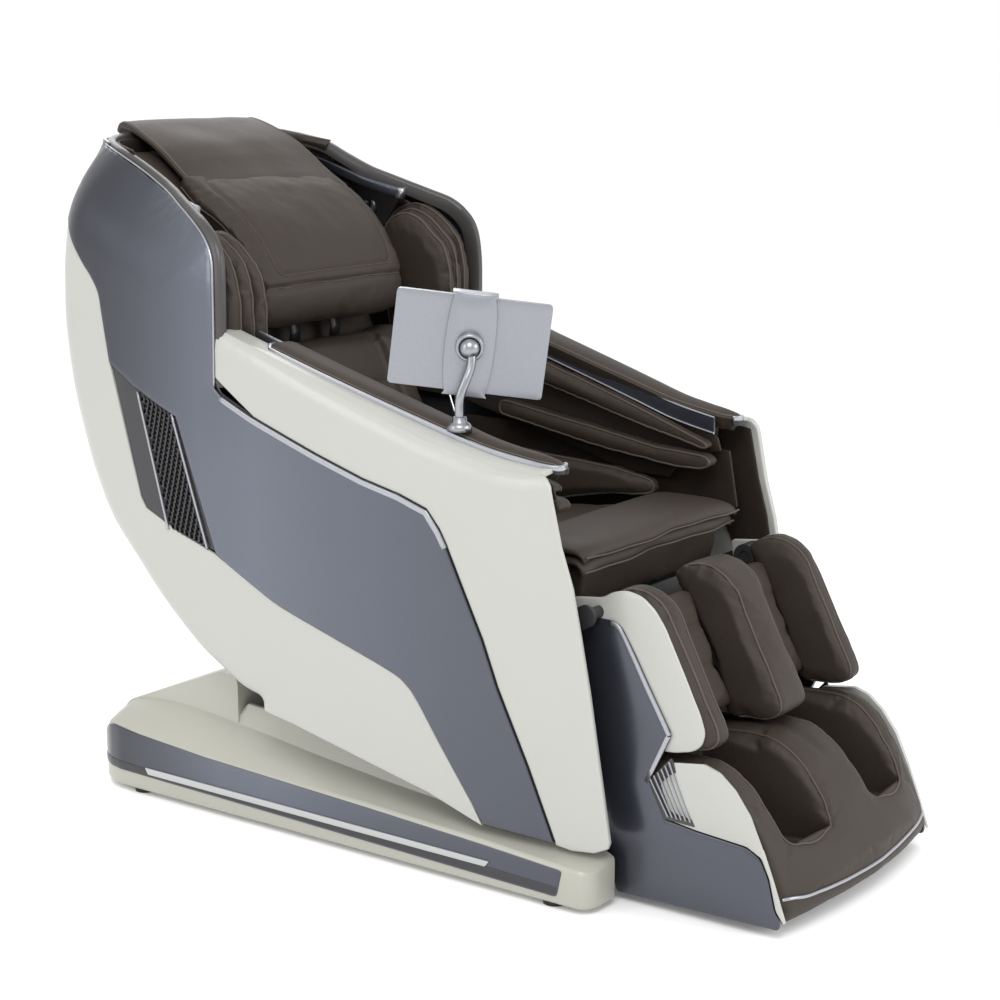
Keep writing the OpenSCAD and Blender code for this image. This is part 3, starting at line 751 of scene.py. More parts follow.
def soft(name, bms, mat, voxel=6, smooth=5, cap=10, pressure=4, wrinkle=1.0, size=70, seams=(), depth=4,
         width=7, seed=0.0):
    """The whole recipe for a pad: union, rounding, swelling, sewn channels, one subdivision."""
    ob = mesh_object(name, bms, mat)
    remesh(ob, voxel, smooth)
    if cap:
        inflate(ob, pressure, cap)
    if seams:
        press(ob, seams, width, depth)
    if wrinkle:
        wrinkles(ob, wrinkle, size, seed)
    refined(ob)
    ob.data.materials.clear()
    ob.data.materials.append(mat)
    return ob


# Back cushion: a middle panel between two bolsters, leaning back by 24 degrees.
LEAN = math.radians(24)


def back_point(x, y, z):
    """From the backrest's own frame (y into the backrest, z up it) to the part's."""
    return (x, 300 + y * math.cos(LEAN) + z * math.sin(LEAN), 530 - y * math.sin(LEAN) + z * math.cos(LEAN))


def back_solid(x0, x1, y0, y1, z0, z1, r=18):
    section = rounded([(y0, z0), (y1, z0), (y1, z1), (y0, z1)], r, 4)
    return solid([back_point(0, a, b)[1:] for a, b in section], x0, x1)


back = soft("back_cushion_soft", [back_solid(-226, 226, 14, 110, 22, 366),
                                  back_solid(-226, -150, -6, 60, 30, 360), back_solid(150, 226, -6, 60, 30,
                                          360)],
            LEATHER, voxel=8, smooth=5, cap=12, wrinkle=1.6, size=90,
            seams=[[back_point(s * 148, 0, 30), back_point(s * 148, 0, 360)] for s in (-1, 1)]
            + [[back_point(-146, 0, z), back_point(146, 0, z)] for z in (120, 240)], depth=5, width=8)
upper_back = soft("back_rest_upper", [back_solid(-232, 232, 56, 112, 340, 596, 14)], LINING, voxel=9,
                  smooth=3, cap=5, wrinkle=1.0, size=90)
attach(upper_back, "capsule")
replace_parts(back, "back_cushion")
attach(back, "capsule")

# A dark skirt closes the capsule's front, behind the leg rest.
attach(mesh_object("front_skirt", [solid([(-292, 138), (-292, 452), (-287, 452), (-287, 138)], -338, 338)],
                    LINING),
        "capsule")

# Seat cushion with its overlapping front flap.
seat_line = rounded([(-300, 470), (-308, 520), (-312, 545), (-240, 562), (0, 536), (286, 512), (284, 440),
                     (160, 444), (-170, 468), (-290, 468)], 16, 4)
seat = soft("seat_cushion_soft", [solid(seat_line, -226, 226)], LEATHER, voxel=8, smooth=4, cap=12,
            wrinkle=2.2,
            size=80, seams=[[(-150, -290, 575), (-140, 0, 560), (-150, 260, 530)], [(150, -290, 575),
                    (140, 0, 560),
            (150, 260, 530)], [(-226, -150, 575), (226, -150, 575)]], depth=3.5, width=8)
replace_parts(seat, "seat_cushion")
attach(seat, "capsule")


def wave(x, k):
    return 5.0 * math.sin(x * 0.021 + k) + 2.5 * math.sin(x * 0.047 + 2 * k)


def flap(name, z_top, y_front, drop, reach, k, body):
    """A layer of the seat's covering that hangs over its front edge, with a wavy hem."""
    verts = []
    cols, section = 60, [(reach, 0), (reach * 0.6, 1), (reach * 0.25, 1), (6, -1), (-5, -9), (-6, -drop)]
    for i in range(cols + 1):
        x = -246 + 492 * i / cols
        end = max(0.0, (abs(x) - 200) / 46) ** 2 * 12
        for j, (y, z) in enumerate(section):
            w = wave(x, k) * (0.25 if j < 3 else 1)
            verts.append((x, y_front + y + w * 0.5 + end * 0.4, z_top + z - end + w * 0.25))
    ob = new_object(name, verts, grid_faces(cols, len(section) - 1), LEATHER)
    modify(ob, "SOLIDIFY", thickness=9 * MM, offset=0)
    modify(ob, "SUBSURF", levels=2, render_levels=2)
    apply_all(ob)
    hem = tubes(name + "_piping", [spline([(-246 + 492 * i / 20, y_front - 7.5 + wave(-246 + 492 * i / 20,
            k) * 0.5,
                z_top - drop + wave(-246 + 492 * i / 20, k) * 0.25) for i in range(21)], 3)], 2.0, PIPING)
    for o in (ob, hem):
        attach(o, body)
    return ob


flap("seat_flap_upper", 583, -318, 18, 150, 0.4, "capsule")
flap("seat_flap_lower", 566, -312, 24, 60, 1.7, "capsule")

# Head pillow: a thin flap hung over the hood's edge that carries a thick cushion with a stitched panel.
PILLOW = [(450, 896), (438, 902), (433, 918), (436, 953), (466, 1014), (512, 1060), (562, 1094), (592, 1112),
          (622, 1132)]
FLAP = [(554, 1114), (582, 1132), (610, 1152), (642, 1177), (676, 1201), (724, 1225), (762, 1240),
        (784, 1242), (797, 1228)]


class Sheet:
    """A padded sheet across the chair: a side profile, a half width and a bulge along it."""

    def __init__(self, points, half, bulge, swell):
        self.swell = swell
        self.P = np.array(spline(points, 6))
        T = np.gradient(self.P, axis=0)
        T /= np.linalg.norm(T, axis=1)[:, None]
        self.N = np.stack([-T[:, 1], T[:, 0]], 1)
        t = np.concatenate([[0], np.cumsum(np.linalg.norm(np.diff(self.P, axis=0), axis=1))])
        self.t, self.half, self.bulge = t / t[-1], half, bulge

    def at(self, u, t, lift=0.0):
        """u in -1..1 across, t in 0..1 along."""
        y, z, ny, nz = (np.interp(t, self.t, a) for a in (self.P[:, 0], self.P[:, 1], self.N[:, 0],
                                                          self.N[:, 1]))
        k = np.interp(t, [0, 0.12, 0.35, 0.75, 1], self.swell)
        b = self.bulge * (1 - abs(u) ** 3) * k + lift
        return (u * float(np.interp(t, *self.half)), y + ny * b, z + nz * b)

    def mesh(self, name, thick, mat, rows=40, cols=40):
        verts = [self.at(2 * j / cols - 1, i / rows) for i in range(rows + 1) for j in range(cols + 1)]
        ob = new_object(name, verts, grid_faces(rows, cols), mat)
        modify(ob, "SOLIDIFY", thickness=thick * MM, offset=0)
        modify(ob, "BEVEL", width=thick * 0.3 * MM, segments=3, limit_method="ANGLE",
               angle_limit=math.radians(50))
        return apply_all(ob)


front = Sheet(PILLOW, ([0, 0.08, 0.25, 0.5, 0.8, 1.0], [190, 197, 205, 214, 219, 204]), 16,
              [0.5, 0.8, 1, 1, 0.35])
pillow = front.mesh("head_pillow_soft", 40, LEATHER)
remesh(pillow, 6, 4)
inflate(pillow, 3.0, 10.0)


def loop(sheet, u, t0, t1, corner):
    """A rounded rectangle on a sheet."""
    line = rounded([(-u, t0), (-u, t1), (u, t1), (u, t0)], corner, 6)
    line = dense([(a * 220, b * 330) for a, b in line + line[:1]], 8, closed=False)
    return [sheet.at(a / 220, b / 330, 24) for a, b in line]


panel_seam = snap(pillow, loop(front, 0.80, 0.235, 0.93, 0.10))
hem_seam = snap(pillow, [front.at(u, 0.185, 24) for u in np.linspace(-0.99, 0.99, 60)])
edge_seam = [snap(pillow, [front.at(s * 0.985, t, 8) for t in np.linspace(0.05, 0.97, 50)]) for s in (-1, 1)]
press(pillow, [panel_seam], 4.5, 3.5)
press(pillow, [hem_seam], 6, 6)
press(pillow, edge_seam, 4, 2)
wrinkles(pillow, 2.6, 75, 3.0)
wrinkles(pillow, 0.9, 24, 8.0)
refined(pillow)
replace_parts(pillow, "head_pillow")
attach(pillow, "capsule")
hood_flap = Sheet(FLAP, ([0, 0.1, 0.22, 0.5, 0.75, 0.9, 1.0], [208, 205, 201, 198, 190, 182, 174]), 15,
                  [0.9, 1, 0.8, 0.3, 0.1])
fl = hood_flap.mesh("head_pillow_flap", 9, LEATHER, rows=60, cols=60)
wrinkles(fl, 2.2, 90, 5.0)
refined(fl)
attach(fl, "capsule")
flap_edges = [[hood_flap.at(s, t, 5) for t in np.linspace(0.16, 0.93, 40)] for s in (-0.965, 0.965)]
for nm, paths, r, mat in (("pillow_panel_stitch", [snap(pillow, panel_seam, 0.2)], 0.9, PIPING),
                          ("pillow_hem_stitch", [snap(pillow, hem_seam, 0.2)], 1.0, PIPING),
                          ("pillow_edge_piping", [snap(pillow, e, 0.6) for e in edge_seam], 1.8, PIPING),
                          ("flap_edge_stitch", [snap(fl, e, 0.2) for e in flap_edges], 0.9, THREAD)):
    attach(tubes(nm, paths, r, mat), "capsule")
for s in (-1, 1):
    strap = new_object("pillow_strap_" + ("right" if s < 0 else "left"),
                       [(s * x, y, z) for y, z in ((470, 905), (468, 880), (462, 862),
                                                   (466, 842)) for x in (44, 72)],
                       [(0, 1, 3, 2), (2, 3, 5, 4), (4, 5, 7, 6)], BLACK)
    modify(strap, "SOLIDIFY", thickness=3 * MM, offset=0)
    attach(apply_all(strap), "capsule")


# Shoulder wings: two layered pads on each side, standing on the hood's inner wall.
def slab(name, outline, x_in, x_out, voxel=6, cap=9, follow=True, seed=0.0, r=26):
    """A pad standing on edge; x_out and x_in are depths below the bowed side, outer and inner face."""
    line = rounded(outline, r, 5)
    ob = mesh_object(name, [solid(line, -390 + x_out + 3, -390 + x_in - 3)], LEATHER)
    remesh(ob, voxel, 5)
    if follow:
        v = get(ob)
        v[:, 0] += (390 - bow(v[:, 1] / MM)) * MM
        put(ob, v)
    inflate(ob, 4, cap)
    wrinkles(ob, 1.2, 55, seed)
    refined(ob)
    ob.data.materials.clear()
    ob.data.materials.append(LEATHER)
    path = np.array([(x_in - 2 - (float(bow(y)) if follow else 390), y, z) for y, z in dense(line, 6)])
    path = np.vstack([path, path[:1]])
    inwards = path.mean(0) - path
    path += inwards / np.linalg.norm(inwards, axis=1)[:, None] * np.array([0, -3, -3])
    return ob, tubes(name + "_piping", [snap(ob, path, 0.6)], 2.2, PIPING)


def slab_pair(name, *args, body="capsule", replaced=(), **kw):
    ob, pipe = slab(name + "_right", *args, **kw)
    two = both_sides(ob, *replaced, body=body)
    both_sides(pipe, body=body, name=name + "_piping_left")


WINGS = {
    "outer": ([(352, 800), (346, 900), (346, 962), (360, 1014), (386, 1044), (430, 1074), (482, 1088),
               (540, 1062), (560, 960), (520, 800)], 70, 42),
    "middle": ([(350, 806), (342, 900), (344, 956), (357, 1008), (384, 1036), (424, 1066), (472, 1079),
                (530, 1046), (545, 960), (505, 806)], 98, 72),
    "inner": ([(350, 812), (338, 890), (340, 950), (354, 1002), (380, 1028), (413, 1056), (456, 1072),
               (508, 1050), (530, 950), (492, 812)], 128, 100),
}
for k, (nm, (outline, x_in, x_out)) in enumerate(WINGS.items()):
    slab_pair("shoulder_wing_" + nm, outline, x_in, x_out, seed=1.0 + k, r=34, cap=7,
              replaced=("shoulder_wing_right", "shoulder_wing_left") if nm == "outer" else ())

# Arm airbags, hip airbags and linings.
slab_pair("arm_airbag_upper", [(-272, 680), (310, 862), (318, 800), (100, 746), (-150, 690), (-262, 668)],
          124, 92, replaced=("arm_airbags_right", "arm_airbags_left"), seed=4.0, r=16, voxel=6)
slab_pair("arm_airbag_lower", [(-280, 646), (-268, 660), (-150, 664), (220, 716), (224, 684), (0, 648),
                               (-200, 630),
          (-262, 634)], 130, 92, seed=5.0, r=12, voxel=5)
slab_pair("hip_airbag", [(-150, 572), (-148, 600), (-60, 620), (236, 636), (292, 606), (292, 506), (200, 494),
          (40, 534)], 146, 114, follow=False, replaced=("hip_airbags",), seed=6.0, r=22)

# Linings: plain upholstered walls just inside the shells.
def wall(name, outline, depth, mat, thick=5, step=12, surf=None):
    surf = surf or (lambda y, z, out: bow(y) + out)
    return side_panel(name, outline, -depth, thick, mat, step=step, bevel=1.5, surf=surf, segments=2)


lining_up = [(-278, 664), (-270, 688), (-250, 700), (-77, 742), (168, 822), (352, 884), (352, 700),
             (-60, 600), (-160, 600), (-200, 650)]
lining_low = [(-304, 560), (-284, 662), (-60, 662), (352, 662), (352, 505), (150, 475), (-256, 530)]
for part, outline, depth in (("upper", lining_up, 82), ("lower", lining_low, 60)):
    w = wall("arm_lining_%s_right" % part, outline, depth, LINING)
    both_sides(w, *(("arm_lining_right", "arm_lining_left") if part == "upper" else ()))

front = wall("arm_front_lining_right", [(-410, 135), (-392, 255), (-373, 376), (-357, 463), (-342, 541),
                                        (-321, 608),
             (-300, 698), (-230, 706), (-220, 560), (-320, 380), (-350, 135)], 12, LINING, thick=4)
both_sides(front)

hood = side_panel("hood_lining_right", [(394, 690), (392, 978), (400, 1016), (426, 1046), (500, 1088),
                                        (570, 1120),
                  (620, 1144), (669, 1168), (720, 1182), (752, 1150), (757, 1010), (742, 860), (640, 700)],
                  -26, 5, LEATHER, step=12, bevel=1.5)
both_sides(hood, "hood_lining")
slab_pair("crown_pad", [(600, 1112), (640, 1148), (672, 1172), (704, 1190), (728, 1198), (742, 1186),
                        (740, 1130),
                  (728, 1060), (704, 1010), (650, 1020), (606, 1060)], 225, 118, seed=9.0, r=16, cap=7)
liner_seams = [along(spline(line, 6), -33, step=9) for line in
               ([(648, 1168), (676, 1120), (690, 1040), (684, 900)], [(704, 1186), (728, 1120), (734, 1020),
                       (726, 880)])]
both_sides(tubes("hood_lining_piping_right", liner_seams, 2.0, PIPING))

# Armrest pads: a long leaf of leather, its silver rim, and the cream gap beside it.
ARM_OUT = spline([(-306, 731), (-277, 734), (-178, 751), (-90, 776), (43, 815), (158, 849), (276, 885),
                  (362, 911)], 5)


def arm_height(y):
    return float(height_on(ARM_OUT, y))


def arm_cap():
    """The cream ledge between the arm's outer edge and the pad."""
    rows = np.linspace(-296, 361, 60)
    verts = []
    for y in rows:
        low, high = float(height_on(ARM_TOP, y)) - 1.5, arm_height(y) - 7
        for t, rise in ((0, 0), (0.25, 0.45), (0.5, 0.72), (0.75, 0.9), (1, 1)):
            verts.append((-float(bow(y)) + 13 + 50 * t, y, low + (high - low) * rise))
    ob = face_out(new_object("arm_cap_right", verts, grid_faces(len(rows) - 1, 4), CREAM), (0, 0, 1))
    modify(ob, "SOLIDIFY", thickness=8 * MM, offset=-1)
    return bevelled(ob, 1.2, 2, 50)


def arm_pad():
    outer = [(284, -318), (282, -332)] + [(y, -float(bow(y)) + 40) for y in np.linspace(268, -276, 30)]
    nose = spline([(-276, -float(bow(-276)) + 40), (-298, -302), (-306, -290), (-300, -274), (-280, -264)], 5)
    inner = [(y, -262 - 14 * max(0, (y + 280) / 560)) for y in np.linspace(-272, 262, 22)] + [(280, -284)]
    outline = outer + [p for p in nose[1:]] + inner
    v, f = fill([(p[0], p[1]) for p in outline], 9)
    d = distance_to(outline, v)
    lift = 10 * (1 - (1 - np.clip(d / 30, 0, 1)) ** 2.2)
    top = np.array([arm_height(y) for y in v[:, 0]]) - 7 + lift + 2.5 * np.sin(np.clip(d / 50, 0, 1) * 3)
    ob = new_object("armrest_pad_shaped_right", [(x, y, z) for (y, x), z in zip(v, top)],
                    [tuple(t) for t in f], LEATHER)
    face_out(ob, (0, 0, 1))
    modify(ob, "SOLIDIFY", thickness=30 * MM, offset=-1)
    bevelled(ob, 3, 3, 50)
    apply_all(ob)
    rim_line = [(x, y, arm_height(y) - 7) for y, x in outline]
    return ob, rim_line


pad, rim_line = arm_pad()
both_sides(pad, "armrest_pad_right", "armrest_pad_left")
cap = apply_all(arm_cap())
both_sides(cap)
outer_run = rim_line[:48]
A = np.array(outer_run)
trim = sweep("arm_trim_shaped_right", [tuple(p) for p in A],
             rounded([(-3, -4), (3.2, -4), (3.2, 5), (-3, 5)], 1.6, 3),
             SILVER)
both_sides(trim, "arm_trim")
low = sweep("arm_gap_right", [(p[0] + 1.5, p[1], p[2] - 7) for p in outer_run],
            rounded([(-4, -5), (3, -5), (3, 4), (-4, 4)], 1, 2),
            BLACK)
both_sides(low)
stitch = snap(pad, [(x + (5 if x < -300 else -4), y, arm_height(y)) for y, x in
                    [(p[1], p[0]) for p in rim_line[2:-2]]], 0.3)
st = tubes("armrest_stitch_right", [stitch], 0.9, THREAD)
both_sides(st)

# Inner walls of the arms with their metallic strip.
run = np.linspace(-268, 340, 24)
accent = side_panel("accent_strip_right",
                    [(y, arm_height(y) - 38) for y in run] + [(y, arm_height(y) - 8) for y in run[::-1]],
                    -92, 4, GREY, step=12, bevel=1.5, surf=lambda y, z, out: bow(y) + out)
both_sides(accent, "accent_strips")
for k, dz in enumerate((-9, -38)):
    line = [(-float(bow(y)) + 97, y, arm_height(y) + dz) for y in run]
    e = tubes("accent_edge_%d_right" % k, [line], 2.0, SILVER)
    both_sides(e)

# Vent: dark plate, fine teardrop mesh between two bright ribs.
plate_outline = [(624, 826), (562, 787), (498, 758), (459, 743), (369, 510), (466, 537), (544, 569),
                 (557, 590)]
vent = side_panel("vent_plate_right", plate_outline, -2.5, 4, CHARCOAL, step=12, bevel=1.2)
both_sides(vent, "vent_grilles")


def vent_strip():
    """The mesh between the two ribs: rows of six-sided cups."""
    top_a, top_b, bot_a, bot_b = (np.array(p, float) for p in ((548, 776), (470, 744), (482, 541),
            (394, 519)))
    rows, cols = 22, 7
    verts, faces = [], []
    for i in range(rows):
        for j in range(cols):
            s = (i + 0.5) / rows
            t = (j + 0.5 + (0.5 if i % 2 else 0.0)) / (cols + 0.5)
            c = top_a + (bot_a - top_a) * s + ((top_b + (bot_b - top_b) * s) - (top_a + (bot_a - top_a) * s)) * t
            r0, r1 = 7.2, 3.0
            x = -float(shell_x(np.array([c[0]]), np.array([c[1]]), 0.6)[0])
            base = len(verts)
            for r, dx in ((r0, 0.4), (r0 * 0.66, -1.6), (r1, 3.2)):
                for q in range(6):
                    a = math.radians(60 * q + 30)
                    verts.append((x + dx, c[0] + r * 0.82 * math.cos(a), c[1] + r * math.sin(a)))
            for k in range(2):
                for q in range(6):
                    faces.append((base + k * 6 + q, base + k * 6 + (q + 1) % 6,
                                  base + k * 6 + 6 + (q + 1) % 6, base + k * 6 + 6 + q))
            faces.append(tuple(base + 12 + q for q in range(6)))
    ob = new_object("vent_mesh_right", verts, faces, GLOSS, smooth=False)
    return ob, (top_a, top_b, bot_a, bot_b)


mesh_strip, corners = vent_strip()
both_sides(mesh_strip)
for k, (a, b, o) in enumerate(((corners[0], corners[2], 4), (corners[1], corners[3], -4))):
    line = [a + (b - a) * t + np.array([o, 0]) for t in np.linspace(-0.02, 1.02, 20)]
    rib = sweep("vent_rib_%d_right" % k, along(line, 1.2, step=1000),
                rounded([(-1.5, -2.2), (1.8, -2.2), (1.8, 2.2), (-1.5, 2.2)], 0.8, 2), SILVER)
    both_sides(rib)

# Silver strip along the front edge of the metallic panel: a painted highlight for the light on its bevel, with a
# dark gap beside it.
bevel_line = [(-125, 585), (-112, 609), (-88, 641), (-33, 661), (39, 679), (139, 712), (275, 761), (350, 793)]
bevel_highlight = sweep("panel_bevel_right", along(bevel_line, 2.6, 0.5, -4.5),
             rounded([(-2.5, -4), (1.4, -5), (1.6, 4), (-2.5, 5)], 1, 2),
             SILVER)
both_sides(bevel_highlight)
gap = sweep("panel_gap_right", along(GREY_FRONT, -4.5, -0.4, 0.8), [(-1.5, -2), (2.6, -2), (2.6, 2),
        (-1.5, 2)], BLACK)
both_sides(gap)

# Speakers in their triangular housings.
SPEAKER = (590, 1076)
housing = side_panel("speaker_housing_right",
                     rounded([(500, 1098), (520, 1106), (590, 1126), (660, 1148), (720, 1168),
                     (722, 1150), (680, 1120), (650, 1100), (580, 1030), (556, 1036)], 8, 3), -32, 16, RIM,
                     step=10, bevel=4)
both_sides(housing, "speaker_housings")
bar_path = along(spline([(488, 1100), (565, 1122), (640, 1145), (720, 1168)], 4), -40)
rail = sweep("speaker_bar_right", bar_path, rectangle(15, 10, 5, 3), GREY)
both_sides(rail)
start = np.array(bar_path[0]) + (np.array(bar_path[0]) - np.array(bar_path[1])) * 0.3
tip = sweep("speaker_bar_tip_right", [tuple(start)] + bar_path[:2],
            rectangle(16, 11, 5, 3), SILVER)
both_sides(tip)


def lathe(name, profile, mats):
    """Turns a profile of (radius, height) about +X."""
    verts, faces, m, n = [], [], len(profile), 40
    for i in range(n):
        a = 2 * math.pi * i / n
        verts += [(h, r * math.cos(a), r * math.sin(a)) for r, h in profile]
    for i in range(n):
        for j in range(m - 1):
            a, b = i * m, ((i + 1) % n) * m
            faces.append((a + j, a + j + 1, b + j + 1, b + j))
    ob = new_object(name, verts, faces, mats)
    bm = bmesh.new()
    bm.from_mesh(ob.data)
    bmesh.ops.remove_doubles(bm, verts=bm.verts, dist=1e-6)
    bmesh.ops.recalc_face_normals(bm, faces=bm.faces)
    bm.to_mesh(ob.data)
    bm.free()
    return ob


def moved(ob, at):
    v = get(ob)
    put(ob, v + np.array(at) * MM)
    return ob


SPEAKER_AT = (-float(shell_x(*SPEAKER)) + 46, *SPEAKER)
ring = moved(lathe("speaker_ring_right", [(0.01, 6), (16, 3), (17, 10), (20, 12), (25, 11), (27, 6),
                                          (27, 0)], SILVER),
             SPEAKER_AT)
cone = moved(lathe("speaker_cone_right", [(0.01, 12), (6, 11), (8, 6), (16.5, 9.6)], BLACK), SPEAKER_AT)
both_sides(ring, "speakers")
both_sides(cone)

# ---------- leg rest ----------

LEG = math.radians(25.8)
KNEE = (-360, 488)


def leg_point(x, y, z):
    return (x, KNEE[0] + y * math.cos(LEG) + z * math.sin(LEG),
            KNEE[1] - y * math.sin(LEG) + z * math.cos(LEG))


def to_leg(y, z):
    dy, dz = y - KNEE[0], z - KNEE[1]
    return dy * math.cos(LEG) - dz * math.sin(LEG), dy * math.sin(LEG) + dz * math.cos(LEG)


def clip_leg(outline, y_max):
    """Keeps the part of an outline in front of the leg's own plane y = y_max."""
    pts = [(p, to_leg(*p)[0] - y_max) for p in outline]
    out = []
    for (p, a), (q, b) in zip(pts, pts[1:] + pts[:1]):
        if a <= 0:
            out.append(p)
        if (a <= 0) != (b <= 0):
            t = a / (a - b)
            out.append((p[0] + (q[0] - p[0]) * t, p[1] + (q[1] - p[1]) * t))
    return out


PAD = [(-376, 520), (-392, 531), (-424, 537), (-460, 528), (-489, 503), (-518, 453), (-553, 384), (-580, 322),
       (-584, 302), (-574, 288), (-554, 279), (-500, 274), (-440, 276), (-380, 330), (-352, 440), (-352, 500)]
pad_clip = clip_leg(PAD, -14)


def calf_pad(name, x0, x1, seed):
    ob = mesh_object(name, [solid(rounded(pad_clip, 22, 5), x0 + 5, x1 - 5)], LEATHER)
    remesh(ob, 5, 6)
    inflate(ob, 4, 8)
    line = spline([p for p in pad_clip if to_leg(*p)[0] < -30], 4)
    paths = [snap(ob, [(x, a, b) for a, b in line]) for x in (x0 + 8, x1 - 8)]
    press(ob, paths, 4.5, 3.0)
    wrinkles(ob, 1.2, 45, seed)
    refined(ob)
    pipes = tubes(name + "_piping", [snap(ob, p, 0.4) for p in paths], 2.2, PIPING)
    for o in (ob, pipes):
        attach(o, "leg_rest")
    return ob


calf = calf_pad("calf_bolster_middle", -50, 50, seed=1.0)
calf_pad("calf_wing_right", -255, -206, seed=2.0)
calf_pad("calf_wing_left", 206, 255, seed=3.0)
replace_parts(calf, "calf_cushion")
for s, nm in ((-1, "right"), (1, "left")):
    bm = solid([leg_point(0, a, b)[1:] for a,
                b in rounded([(-44, -228), (-14, -228), (-14, -12), (-44, -12)], 14, 4)],
               s * 128 - 74, s * 128 + 74)
    tr = soft("calf_trough_" + nm, [bm], LEATHER, voxel=6, smooth=4, cap=8, wrinkle=1.6, size=60,
              seams=[[leg_point(s * 128 - 70, -50, z), leg_point(s * 128 + 70, -50, z)] for z in (-150, -80)],
              depth=3.5, width=6, seed=5.0 + s)
    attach(tr, "leg_rest")


def flat_panel(name, outline, x, thick, mats, bevel=2.5, r=8, crown=0.0):
    """A flat moulded side panel on the right at x, optionally crowned outwards."""
    line = rounded(outline, r, 4)

    def surf(y, z, out):
        d = distance_to(line, np.stack([y, z], 1))
        return -x + crown * (1 - (1 - np.clip(d / 40, 0, 1)) ** 2)
    return side_panel(name, line, 0.0, thick, mats, step=10, bevel=bevel, surf=surf)


calf_shell = flat_panel("calf_shell_right", [(-366, 512), (-384, 524), (-412, 530), (-440, 524),
                                             (-464, 506), (-484, 479),
                        (-522, 405), (-552, 345), (-562, 316), (-556, 294), (-540, 282), (-503, 273),
                        (-440, 272),
                        (-372, 330), (-340, 440), (-312, 470), (-306, 505)], -262, 7, CREAM, r=10,
                        crown=3.0, bevel=3)
both_sides(calf_shell, "calf_shells", body="leg_rest")

GREY_LEG = [(-330, 430), (-316, 452), (-314, 478), (-388, 478), (-406, 470), (-432, 429), (-461, 378),
            (-502, 309), (-502, 300),
            (-462, 218), (-492, 160), (-552, 152), (-645, 145), (-669, 131), (-684, 102), (-697, 51),
            (-709, 34), (-706, 20), (-402, 15), (-372, 120), (-350, 300)]
grey_leg = flat_panel("leg_side_right", GREY_LEG, -267, 5, GREY, r=7, crown=4.0, bevel=2.5)
both_sides(grey_leg, "foot_side_plates", body="foot_unit")
# A silver strip along the grey leg side's front edge: a painted highlight for the light on its bevel.
edge_line = spline([(-388, 475), (-405, 468), (-431, 428), (-460, 378), (-500, 310), (-499, 299),
                    (-461, 219)], 4)
leg_bevel_highlight = sweep("leg_bevel_right", [(-269.5, a + 3, b - 1) for a, b in edge_line],
           rounded([(-2, -4), (1.2, -4), (1.6, 4), (-2, 4)], 1, 2),
           SILVER)
both_sides(leg_bevel_highlight, body="foot_unit")

FOOT_CREAM = [(-466, 224), (-503, 259), (-564, 268), (-592, 259), (-621, 235), (-649, 198), (-673, 145),
              (-694, 93),
              (-716, 32), (-712, 36), (-700, 52), (-687, 103), (-672, 134), (-645, 147.5), (-552, 154.5),
              (-494, 162.5)]
foot_shell = flat_panel("foot_shell_right", FOOT_CREAM, -267, 7, CREAM, r=5, crown=4.0, bevel=2.2)
both_sides(foot_shell, "foot_side_shells", body="foot_unit")
rib_bars = []
for i in range(6):
    p = [(-467 - 7 * i, 226 + 7 * i), (-502 - 8.4 * i, 168)]
    rib_bars.append([(-272, *p[0]), (-272, p[0][0] * 0.35 + p[1][0] * 0.65, p[0][1] * 0.35 + p[1][1] * 0.65),
                     (-272, *p[1])])
rp = flat_panel("leg_rib_plate_right", [(-463, 220), (-505, 268), (-551, 160), (-493, 162)], -269.5, 3, RIM,
                r=3, crown=0, bevel=1)
both_sides(rp, "leg_ribs", body="foot_unit")
rb = tubes("leg_rib_bars_right", rib_bars, 1.7, SILVER)
both_sides(rb, body="foot_unit")

# Foot unit: a leather boot with two wells.
BOOT = [(-404, 20), (-378, 110), (-402, 246), (-432, 255), (-500, 257), (-562, 261), (-596, 250), (-630, 224),
        (-664, 180), (-692, 126), (-714, 78), (-722, 52), (-716, 30), (-700, 20)]


def boot():
    ob = mesh_object("foot_boot_soft", [solid(rounded(BOOT, 16, 4), -255, 255)], LEATHER)
    for s in (-1, 1):
        well = rounded([(-424, 320), (-632, 320), (-716, 190), (-690, 158), (-664, 92), (-484, 82),
                        (-456, 128)], 14, 4)
        cut(ob, mesh_object("tool", [solid(well, s * 138 - 66, s * 138 + 66)], LEATHER))
    remesh(ob, 5, 9)
    v = get(ob)
    x, y, z = v[:, 0] / MM, v[:, 1] / MM, v[:, 2] / MM
    front = np.clip((-y - 600) / 120, 0, 1)
    v[:, 1] -= (26 * (1 - (np.abs(x) / 250) ** 2) * front) * MM
    top = np.clip((z - 205) / 50, 0, 1)
    crest = 7 * np.exp(-((np.abs(x) - 22) / 26) ** 2) + 7 * np.exp(-((np.abs(x) - 230) / 18) ** 2)
    v[:, 2] += crest * top * MM
    put(ob, v)
    inflate(ob, 3, 6)
    return ob


bt = boot()
rims = []
for s in (-1, 1):
    for side in (-1, 1):
        xx = s * 138 + side * 77
        rims.append([(xx, -430, 262), (xx, -500, 268), (xx, -566, 268), (xx, -604, 254),
                     (xx - side * 3, -640, 226), (xx - side * 10, -676, 186), (xx - side * 26, -700, 152)])
rims = [snap(bt, spline(r, 4)) for r in rims]
cross = [snap(bt, spline([(s * 138 - 52, -700, 150), (s * 138 - 20, -708, 138), (s * 138 + 20, -708, 138),
                          (s * 138 + 52, -700, 150)], 6)) for s in (-1, 1)]
low_line = snap(bt, spline([(-246, -700, 66), (-160, -728, 60), (0, -742, 56), (160, -728, 60),
                            (246, -700, 66)], 8))
press(bt, rims + cross + [low_line], 4.5, 3.0)
wrinkles(bt, 1.6, 60, 9.0)
refined(bt)
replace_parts(bt, "foot_boot")
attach(bt, "foot_unit")
rp = tubes("foot_well_piping", [snap(bt, r, 0.4) for r in rims + cross], 1.9, PIPING)
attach(rp, "foot_unit")
